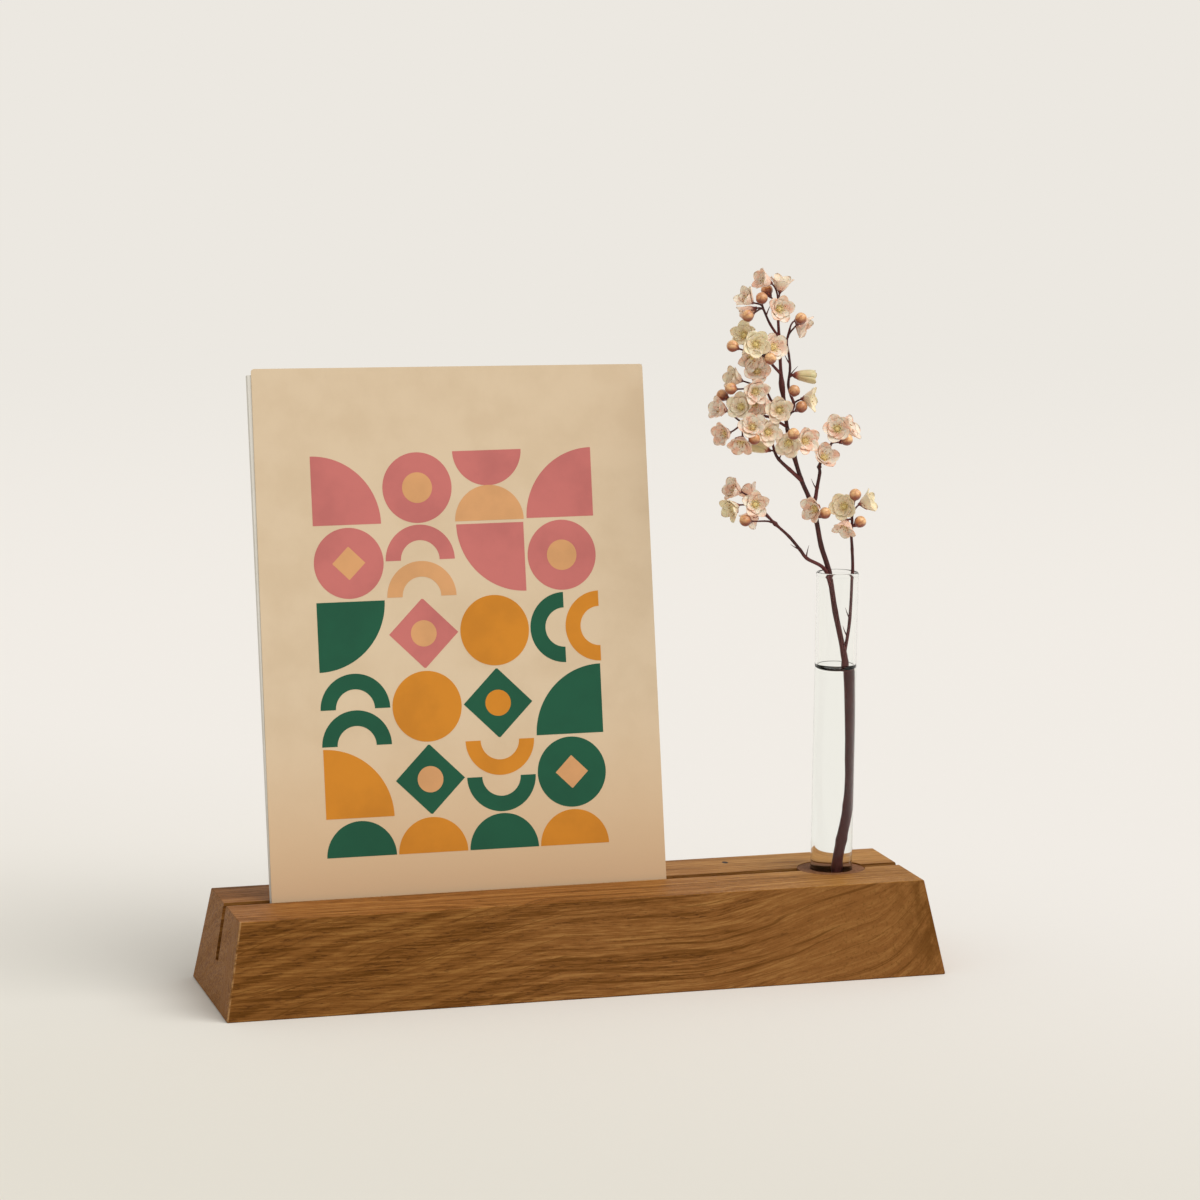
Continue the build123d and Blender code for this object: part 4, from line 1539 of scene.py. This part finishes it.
@dataclass
class Sprig:
    """The stems, flowers and buds that stand in the tube."""

    mouth: LocalFrame
    height: float = 0.110
    root_radius: float = 1.45 * MM
    stalk_radius: float = 0.36 * MM
    stalk_inset: float = 0.4 * MM
    needle_radius: float = 0.32 * MM
    needle_length: float = 5.0 * MM
    stalk_drop_share: float = 0.7
    joint_swell: float = 0.16
    knot_swell: float = 0.75
    knot_reach: float = 0.022
    fork_share: float = -0.29
    above_fork_share: float = 0.74
    fork_blur: int = 4
    path_steps: int = 8
    blossom_length: float = 6.2 * MM
    bell_length: float = 8.6 * MM
    bud_width: float = 4.4 * MM
    rib_count: int = 5
    rib_depth: float = 0.05
    petal_count: int = 5
    petal_rows: int = 14
    petal_columns: int = 11
    stamen_count: int = 7
    stamen_radius: float = 0.1 * MM
    stamen_foot_mm: float = 0.8
    stamen_bow_mm: float = 0.5
    stamen_play: tuple[float, float] = (-0.2, 0.2)
    stamen_reach_mm: tuple[float, float] = (1.2, 1.9)
    stamen_height_mm: tuple[float, float] = (1.9, 2.7)
    petal_thickness: float = 0.12 * MM
    petal_foot: float = 0.45 * MM
    petal_lap: float = 0.2 * MM
    turn_play: tuple[float, float] = (-0.09, 0.09)
    lean_play_deg: tuple[float, float] = (-6.0, 6.0)
    wave_mm: tuple[float, float] = (0.1, 0.3)
    least_open: float = 0.36
    open_gain: float = 0.6
    open_play: tuple[float, float] = (-0.1, 0.2)
    shut_length_mm: float = 7.1
    shut_half_width_mm: float = 2.5
    spread_deg: float = 36.0
    inner_length: float = 0.72
    inner_width: float = 0.85
    inner_rise: float = 0.3 * MM
    sepal_drop: float = 0.35 * MM
    pistil_rise: float = 0.55 * MM
    bud_sepal_drop: float = 0.1 * MM
    bell_outer: PetalCut = PetalCut(8.6 * MM, 2.2 * MM, 60, 14, -12, 0.2 * MM)
    bell_inner: PetalCut = PetalCut(7.8 * MM, 1.9 * MM, 50, 10, -12, 0.2 * MM, lining=True)
    sepal: PetalCut = PetalCut(3.1 * MM, 1.3 * MM, 75, 0, 0, 0.1 * MM, 1.0)
    bud_sepal: PetalCut = PetalCut(2.3 * MM, 1.1 * MM, 80, 42, 14, 0.1 * MM, 1.0)
    receptacle_mm: tuple[tuple[float, float], ...] = (
        (0, -1.25), (0.42, -1.15), (0.62, -0.7), (0.86, -0.25), (0.92, 0.1), (0.7, 0.38), (0, 0.5),
    )
    pistil_mm: tuple[tuple[float, float], ...] = (
        (0, -0.3), (0.6, -0.15), (0.9, 0.3), (0.82, 0.7), (0.6, 1.0), (0.34, 1.3), (0.27, 1.8), (0.36, 2.0),
        (0.2, 2.2), (0, 2.25),
    )
    stamen_head_mm: tuple[tuple[float, float], ...] = (
        (0, -0.2), (0.16, -0.1), (0.21, 0.07), (0.15, 0.25), (0, 0.32),
    )
    seed: int = 11

    def __post_init__(self) -> None:
        """Starts the draws of the small chance variations."""
        self.draw = np.random.default_rng(self.seed)

    def place(self, shares: Place) -> np.ndarray:
        """A point of the sprig from its shares of the sprig's height."""
        return self.mouth.world(np.array(shares, float) * self.height)

    def stem_points(self, name: str) -> np.ndarray:
        """The points that a stem passes through, from root to tip."""
        return np.array([self.place(p) for p in STEMS[name][2]])

    def stalk_root(self, stem: str, target: np.ndarray) -> tuple[np.ndarray, np.ndarray]:
        """Finds where a stalk leaves its stem.

        Args:
            stem: Name of the stem.
            target: The point that the stalk has to reach.

        Returns:
            The point on the stem's centre line and the stem's direction there.
        """
        points = self.stem_points(stem)
        run = np.diff(points, axis=0)
        length = np.linalg.norm(run, axis=1)
        along = np.clip(((target - points[:-1]) * run).sum(1) / length**2, 0, 1)
        gap = np.linalg.norm(points[:-1] + run * along[:, None] - target, axis=1)
        k = int(gap.argmin())
        share = along[k] - min(along[k], self.stalk_drop_share * gap[k] / length[k])
        return points[k] + run[k] * share, run[k] / length[k]

    def blooms(self) -> list[Bloom]:
        """Lists every flower and bud with its foot and direction.

        Returns:
            Every open flower, bell and bud.
        """
        made = []
        for node, (stem, rows) in (FLOWERS | FILLING).items():
            length = self.bell_length if node.endswith("_bells") else self.blossom_length
            for shares, facing in rows:
                direction = self.mouth.turned(np.array(facing, float))
                made.append(Bloom(node, stem, self.place(shares) - direction * length / 2, direction))
        for node, (stem, places) in BUDS.items():
            for shares in places:
                middle = self.place(shares)
                direction = unit(middle - self.stalk_root(stem, middle)[0])
                made.append(Bloom(node, stem, middle - direction * self.bud_width / 2, direction))
        return made

    def stem_radii(self, name: str, path: np.ndarray) -> np.ndarray:
        """Works out how thick a stem is along its path.

        The stem tapers evenly, swells by up to a sixth at each of its points and by the
        knot swell times exp(-(distance along it / reach)^2) at each knot. The main stem
        keeps its root's thickness up to the fork, where it gets thinner over a short blur.

        Args:
            name: Name of the stem.
            path: Its centre line.

        Returns:
            The radius at each point of the path.
        """
        root, tip, _ = STEMS[name]
        place = np.arange(len(path)) / self.path_steps
        radii = self.root_radius * (root + (tip - root) * place / place[-1])
        if name == "main_stem":
            level = path @ self.mouth.up - self.mouth.origin @ self.mouth.up
            fork = place[level < self.fork_share * self.height][-1]
            start = self.above_fork_share
            above = start + (tip - start) * (place - fork) / (place[-1] - fork)
            radii = self.root_radius * np.where(place < fork, root, above)
            blur = 2 * self.fork_blur + 1
            radii = np.convolve(np.pad(radii, self.fork_blur, "edge"), np.full(blur, 1 / blur), "valid")
        swell = np.exp(-(((place + 0.5) % 1 - 0.5) / 0.12) ** 2)
        radii = radii * (1 + self.joint_swell * swell * self.draw.uniform(0.4, 1.0, len(path)))
        for share in KNOTS.get(name, ()):
            distance = (place / place[-1] - share) / self.knot_reach
            radii = radii * (1 + self.knot_swell * np.exp(-(distance**2)))
        return radii

    def stalk(self, bloom: Bloom) -> Shape:
        """Builds a stalk.

        It is a cubic curve that leaves along the stem and arrives along the flower, with
        handles of 0.3 and 0.35 of the distance between them. Its radius is 1.15 - 0.35 t +
        0.5 exp(-((1 - t) / 0.08)^2) of the stalk radius, t going from the stem to the flower.

        Args:
            bloom: The flower or bud that it carries.

        Returns:
            The stalk, redder towards the flower.
        """
        t = np.linspace(0, 1, 12)[:, None]
        start, along = self.stalk_root(bloom.stem, bloom.foot)
        reach = np.linalg.norm(bloom.foot - start)
        a, b = start + along * reach * 0.3, bloom.foot - bloom.direction * reach * 0.35
        end = bloom.foot + bloom.direction * self.stalk_inset
        curve = start * (1 - t) ** 3 + 3 * a * t * (1 - t) ** 2 + 3 * b * t**2 * (1 - t) + end * t**3
        girth = self.stalk_radius * (1.15 - 0.35 * t[:, 0] + 0.5 * np.exp(-((1 - t[:, 0]) / 0.08) ** 2))
        stalk = tube_along(curve, girth, 10)
        return stalk.with_value("share", 0.5 + 0.5 * stalk.values["share"])

    def needle(self, points: np.ndarray, share: float, pointing: Place) -> Shape:
        """Builds a needle, a cone bent sideways by 0.12 s (1 - s) of its length at a share s of it.

        Args:
            points: The stem's points.
            share: How far along them it grows.
            pointing: The direction that it points.

        Returns:
            The needle.
        """
        s = np.linspace(0, 1, 7)[:, None]
        at = share * (len(points) - 1)
        k = int(at)
        start = points[k] + (points[k + 1] - points[k]) * (at - k)
        reach = self.mouth.turned(np.array(pointing, float)) * self.needle_length
        bend = np.cross(reach, np.array([0.0, 1.0, 0.0])) * 0.12
        curve = start + reach * s + bend * s * (1 - s)
        return tube_along(curve, self.needle_radius * (1.0 - 0.85 * s[:, 0]), 8)

    def stem_shapes(self, name: str, blooms: list[Bloom]) -> list[Shape]:
        """Builds a stem with its stalks and needles.

        Args:
            name: Name of the stem.
            blooms: Every flower and bud.

        Returns:
            The stem and each of its stalks and needles.
        """
        points = self.stem_points(name)
        path = smooth_path(points, self.path_steps)
        shapes = [tube_along(path, self.stem_radii(name, path), 14)]
        shapes += [self.stalk(bloom) for bloom in blooms if bloom.stem == name]
        return shapes + [self.needle(points, *needle) for needle in NEEDLES.get(name, ())]

    def petal(self, place: LocalFrame, cut: PetalCut, tone: float, wave: float) -> Shape:
        """Builds one petal on its own frame, whose right direction points to the petal's middle.

        The radius and height of the middle line are the running sums of sin and cos of
        the cut's lean. The petal wraps round the axis over the cut's width, its edges rise
        as the square of the distance across, and one edge stands outside the other so that
        neighbours overlap.

        Args:
            place: The petal's frame.
            cut: The petal's sizes and leans.
            tone: The flower's place between cream and pink.
            wave: Height of the waves along the rim.

        Returns:
            The petal as a thin closed body.
        """
        s = np.sin(pi / 2 * np.linspace(0.0, 1.0, self.petal_rows))[:, None]
        t = np.linspace(-1.0, 1.0, self.petal_columns)[None, :]
        lean = cut.lean(s)
        step = cut.length * np.diff(s, axis=0)
        between = (lean[1:] + lean[:-1]) / 2
        radius = self.petal_foot + np.concatenate([[[0.0]], np.cumsum(np.sin(between) * step, axis=0)])
        height = np.concatenate([[[0.0]], np.cumsum(np.cos(between) * step, axis=0)])
        angle = t * cut.width(s) / np.maximum(radius, 2 * self.petal_foot)
        rise = cut.cup * t**2 * s + self.petal_lap * t * np.sin(pi * s**0.8)
        rise = rise + wave * s**2 * np.sin(2.6 * pi * t + 9 * tone) * np.abs(t)
        r, h = radius - rise * np.cos(lean), height + rise * np.sin(lean)
        sheet = np.stack([r * np.cos(angle), r * np.sin(angle), h + 0 * angle], -1)
        inward = [-np.cos(lean) * np.cos(angle), -np.cos(lean) * np.sin(angle), np.sin(lean) + 0 * angle]
        under = place.world(sheet + np.stack(inward, -1) * self.petal_thickness)
        shape = thin_shell(place.world(sheet), under - place.world(sheet))
        shape.with_value("along", np.tile((s + 0 * t).ravel(), 2))
        shape.with_value("across", np.tile((t + 0 * s).ravel(), 2))
        shape.with_value("inside", np.repeat([float(cut.lining), 1.0], s.size * t.size))
        return shape.with_value("tone", tone)

    def whorl(self, frame: LocalFrame, cut: PetalCut, tone: float) -> list[Shape]:
        """Sets petals evenly round a flower, each a little different.

        Args:
            frame: The flower's frame, whose right direction points to the first petal.
            cut: The petals' sizes and leans.
            tone: The flower's place between cream and pink.

        Returns:
            One shape for each petal.
        """
        petals = []
        for k in range(self.petal_count):
            turn = 2 * pi * k / self.petal_count + self.draw.uniform(*self.turn_play)
            lean, wave = self.draw.uniform(*self.lean_play_deg), self.draw.uniform(*self.wave_mm) * MM
            petals.append(self.petal(frame.spun(turn), cut.leaned(lean), tone, wave))
        return petals

    def open_cuts(self, bloom: Bloom) -> tuple[PetalCut, PetalCut]:
        """Cuts the outer and inner petals of an open flower.

        A flower is the more open the more it faces the front. As it opens, its petals get up
        to a millimetre shorter, half a millimetre wider to each side, and spread out.

        Args:
            bloom: The flower.

        Returns:
            The outer and the inner cut.
        """
        facing = max(0.0, float(-bloom.direction[1]))
        openness = min(1.0, self.least_open + self.open_gain * facing + self.draw.uniform(*self.open_play))
        length, point = (self.shut_length_mm - openness) * MM, self.draw.uniform(0, 1)
        width = (self.shut_half_width_mm + 0.5 * openness) * MM
        spread = self.spread_deg * openness
        outer = PetalCut(length, width, 80, 8 + spread, 30 + spread, 0.3 * MM, point)
        length, width = length * self.inner_length, width * self.inner_width
        return outer, PetalCut(length, width, 80, 6 + spread, 24 + 34 * openness, 0.2 * MM, point, True)

    def flower(self, bloom: Bloom) -> tuple[list[Shape], list[Shape], list[Shape]]:
        """Builds an open flower or a bell.

        Args:
            bloom: The flower.

        Returns:
            The petals, the stamens with the pistil, and the sepals.
        """
        spin, tone = self.draw.uniform(0, 2 * pi), self.draw.uniform(0, 1)
        frame = bloom.frame(spin)
        outer, inner = (self.bell_outer, self.bell_inner) if bloom.closed else self.open_cuts(bloom)
        between = frame.spun(pi / self.petal_count)
        petals = self.whorl(frame, outer, tone) + self.whorl(between.raised(self.inner_rise), inner, tone)
        cup = replace(self.sepal, middle_lean=outer.middle_lean + 6, tip_lean=outer.middle_lean + 8)
        sepals = self.whorl(between.raised(-self.sepal_drop), cup, tone) + [self.receptacle(frame, tone)]
        return petals, self.centre(frame, tone), sepals

    def receptacle(self, frame: LocalFrame, tone: float) -> Shape:
        """The swollen foot between a stalk and its petals, a turned profile."""
        foot = turned_profile(frame, np.array(self.receptacle_mm) * MM, 12).with_value("tone", tone)
        return foot.with_value("along", 0.0).with_value("across", 0.0).with_value("inside", 0.0)

    def centre(self, frame: LocalFrame, tone: float) -> list[Shape]:
        """Builds the yellow-green pistil and a ring of stamens with dark heads.

        A filament runs straight from its foot to a drawn tip, plus a parabola that bows it
        outwards. A head is a turned profile at its tip.

        Args:
            frame: The flower's frame.
            tone: The flower's place between cream and pink.

        Returns:
            The pistil and each stamen's filament and head.
        """
        cup = frame.raised(self.pistil_rise)
        shapes = [turned_profile(cup, np.array(self.pistil_mm) * MM, 12).with_value("along", 1.0)]
        t = np.linspace(0, 1, 5)[:, None]
        for k in range(self.stamen_count):
            a = 2 * pi * k / self.stamen_count + self.draw.uniform(*self.stamen_play)
            lean = np.array([cos(a), sin(a), 0.0])
            foot, bow = lean * self.stamen_foot_mm * MM, lean * self.stamen_bow_mm * MM
            tip = lean * self.draw.uniform(*self.stamen_reach_mm) * MM
            tip = tip + np.array([0, 0, self.draw.uniform(*self.stamen_height_mm) * MM])
            curve = cup.world(foot * (1 - t) + tip * t + bow * t * (1 - t))
            filament = tube_along(curve, np.full(len(t), self.stamen_radius), 5)
            del filament.values["share"]
            head = turned_profile(replace(cup, origin=curve[-1]), np.array(self.stamen_head_mm) * MM, 7)
            shapes += [filament.with_value("along", 0.7), head.with_value("along", 0.0)]
        return [shape.with_value("tone", tone) for shape in shapes]

    def bud(self, bloom: Bloom) -> tuple[list[Shape], list[Shape]]:
        """Builds a round bud with shallow furrows.

        For a from -90 to 90 degrees the height is half (1 + 0.98 sin a) and the radius half
        cos(a)^0.9, which is a ball with a full waist. It dips by a twentieth at each furrow.

        Args:
            bloom: The bud.

        Returns:
            The bud and the sepals at its foot.
        """
        frame = bloom.frame(self.draw.uniform(0, 2 * pi))
        half = self.bud_width / 2
        a = np.linspace(-pi / 2, pi / 2, 18)[1:-1, None]
        turn = np.linspace(0, 2 * pi, 40, endpoint=False)
        rib = np.exp(-((((turn * self.rib_count / (2 * pi)) % 1) - 0.5) / 0.14) ** 2)
        radius = half * np.cos(a) ** 0.9 * (1 - self.rib_depth * rib * np.cos(a))
        height = half * (1 + 0.98 * np.sin(a))
        rings = np.stack([radius * np.cos(turn), radius * np.sin(turn), height + 0 * turn], -1)
        poles = np.array([[0, 0, half * 0.02], [0, 0, half * 1.99]])
        ball = lofted(frame.world(rings), *frame.world(poles))
        heights = np.concatenate([np.repeat(height[:, 0] / (2 * half), len(turn)), [0, 1]])
        ball.with_value("along", heights).with_value("tone", self.draw.uniform(0, 1))
        ball.with_value("rib", np.concatenate([np.tile(rib, len(a)), [1, 1]]))
        sepals = self.whorl(frame.raised(-self.bud_sepal_drop), self.bud_sepal, 0.5)
        return [ball], sepals + [self.receptacle(frame, 0.5)]

    def dress(self) -> None:
        """Makes every stem, flower and bud and lets each stand for its CAD node."""
        blooms = self.blooms()
        bark = StemFinish().material()
        for name in STEMS:
            self.carry(f"{name}_bark", self.stem_shapes(name, blooms), bark, "stem", name)
        petal = PetalFinish().material()
        closed = PetalFinish("closed_petal", (218, 208, 156), (210, 200, 140), (204, 178, 124)).material()
        stamen = FleshFinish("stamen", (250, 234, 170), (172, 116, 80), 0.5).material()
        sepal = FleshFinish("sepal", (168, 92, 66), (104, 42, 36), 0.4).material()
        bud_skin = BudFinish().material()
        for node in (*FLOWERS, *BUDS, *FILLING):
            own = [bloom for bloom in blooms if bloom.node == node]
            stands_for = () if node in FILLING else (node,)
            if node in BUDS:
                balls, sepals = zip(*(self.bud(bloom) for bloom in own))
                self.carry(f"{node}_skin", sum(balls, []), bud_skin, "bud", *stands_for)
            else:
                petals, centres, sepals = zip(*(self.flower(bloom) for bloom in own))
                finish, slot = (closed, "closed_petal") if own[0].closed else (petal, "petal")
                self.carry(f"{node}_petals", sum(petals, []), finish, slot, *stands_for)
                self.carry(f"{node}_stamens", sum(centres, []), stamen, "closed_petal")
            self.carry(f"{node}_sepals", sum(sepals, []), sepal, "bud")
            log.info("%s: %d of them", node, len(own))

    def carry(
        self, name: str, shapes: list[Shape], finish: bpy.types.Material, slot: str, *nodes: str
    ) -> None:
        """Makes one piece that rides with the sprig and stands for its CAD nodes.

        Args:
            name: Name of the piece.
            shapes: What it is made of.
            finish: Its material.
            slot: Not used.
            nodes: The CAD nodes that it replaces, if any.
        """
        piece = Shape.joined(shapes).to_object(name, finish)
        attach(piece, "sprig")
        if nodes:
            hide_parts(*nodes)


# ---------------------------------------------------------------- studio


@dataclass(frozen=True)
class PhotoCamera:
    """The photograph's viewpoint, fitted to the block's and print's corners."""

    place: Place = (-0.3805, -1.4697, 0.3695)
    yaw_deg: float = -14.962
    pitch_deg: float = 8.599
    roll_deg: float = -0.208
    lens_mm: float = 126.70

    def make(self) -> None:
        """Makes the camera and makes it the scene's own."""
        data = bpy.data.cameras.new("photo_camera")
        data.lens = self.lens_mm
        camera = linked("photo_camera", data)
        yaw, tilt, roll = radians(self.yaw_deg), radians(90 - self.pitch_deg), radians(self.roll_deg)
        turn = Matrix.Rotation(yaw, 4, "Z") @ Matrix.Rotation(tilt, 4, "X") @ Matrix.Rotation(roll, 4, "Z")
        camera.matrix_world = Matrix.Translation(self.place) @ turn
        bpy.context.scene.camera = camera


@dataclass(frozen=True)
class Studio:
    """The pale floor, the even sky and the soft light from the upper right."""

    # Floor colours with painted shade at the left front and painted light away from it.
    floor_shaded_near: Screen = (227, 223, 212)
    floor_lit_away: Screen = (241, 237, 231)
    floor_far: Screen = (236, 232, 225)
    shade_reach_mm: float = 400.0
    fade_from_mm: float = 700.0
    fade_to_mm: float = 2600.0
    sky: tuple[float, float, float, float] = (1.0, 0.985, 0.965, 1.0)
    sky_strength: float = 0.52
    key_from: Place = (0.44, -0.37, 0.82)
    key_strength: float = 1.85
    key_angle_deg: float = 48.0
    floor_size: float = 60.0

    def make(self) -> None:
        """Makes the floor, the sky and the soft light."""
        self.floor()
        self.world()
        self.key()
        bpy.context.scene.view_settings.view_transform = "Standard"

    def floor(self) -> None:
        """Makes a wide flat floor with painted shade that makes it a little darker at the left front.

        The colour goes over along x + 0.8 y. Far away the floor fades into the background's
        glow, by its distance from the object.
        """
        a = self.floor_size / 2
        mesh = bpy.data.meshes.new("floor")
        mesh.from_pydata([(-a, -a, 0), (a, -a, 0), (a, a, 0), (-a, a, 0)], [], [(0, 1, 2, 3)])
        g = Graph.material("pale_floor")
        x, y, _ = g.parts(g.place())
        # Painted shade: the floor darkens towards the left front.
        away = (x + y * 0.8).span(-self.shade_reach_mm, self.shade_reach_mm)
        near = g.blend(away, self.floor_shaded_near, self.floor_lit_away)
        g.surface(Base_Color=near, Roughness=0.9, Specular_IOR_Level=0.1)
        far = g.output("VectorMath", {0: g.place()}, "Value", operation="LENGTH")
        glow = g.output("Emission", {"Color": self.floor_far, "Strength": 1.0})
        plain = Signal(g, g.tree.nodes["Principled BSDF"].outputs[0])
        g.finish({0: far.span(self.fade_from_mm, self.fade_to_mm), 1: plain, 2: glow}, "Material Output")
        mesh.materials.append(g.owner)
        floor = linked("floor", mesh)

    def world(self) -> None:
        """Makes an even sky; the camera, mirrors and glass see the background colour instead."""
        world = bpy.data.worlds.new("studio_sky")
        bpy.context.scene.world = world
        g = Graph(world)
        light = g.tree.nodes["Background"]
        g.feed(light.inputs["Color"], self.sky)
        g.feed(light.inputs["Strength"], self.sky_strength)
        seen = g.output("Background", {"Color": self.floor_far})
        rays = g.node("LightPath", {}).outputs
        kinds = ("Is Camera Ray", "Is Transmission Ray", "Is Glossy Ray")
        camera, through, mirror = (Signal(g, rays[kind]) for kind in kinds)
        either = camera.at_least(through).at_least(mirror)
        g.finish({0: either, 1: Signal(g, light.outputs[0]), 2: seen}, "World Output")

    def key(self) -> None:
        """Makes a wide soft light from the upper right front, as far away as the sky."""
        data = bpy.data.lights.new("key_light", "SUN")
        data.energy = self.key_strength
        data.angle = radians(self.key_angle_deg)
        lamp = linked("key_light", data)
        lamp.rotation_mode = "QUATERNION"
        lamp.rotation_quaternion = Vector(self.key_from).to_track_quat("Z", "Y")


def main() -> None:
    """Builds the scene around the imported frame."""
    logging.basicConfig(level=logging.INFO, format="%(message)s")
    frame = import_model()
    PhotoCamera().make()
    Block().dress(frame)
    CardStack().dress(frame)
    mouth = TubeHolder().dress(frame)
    Sprig(mouth).dress()
    Studio().make()


if __name__ == "__main__":
    main()
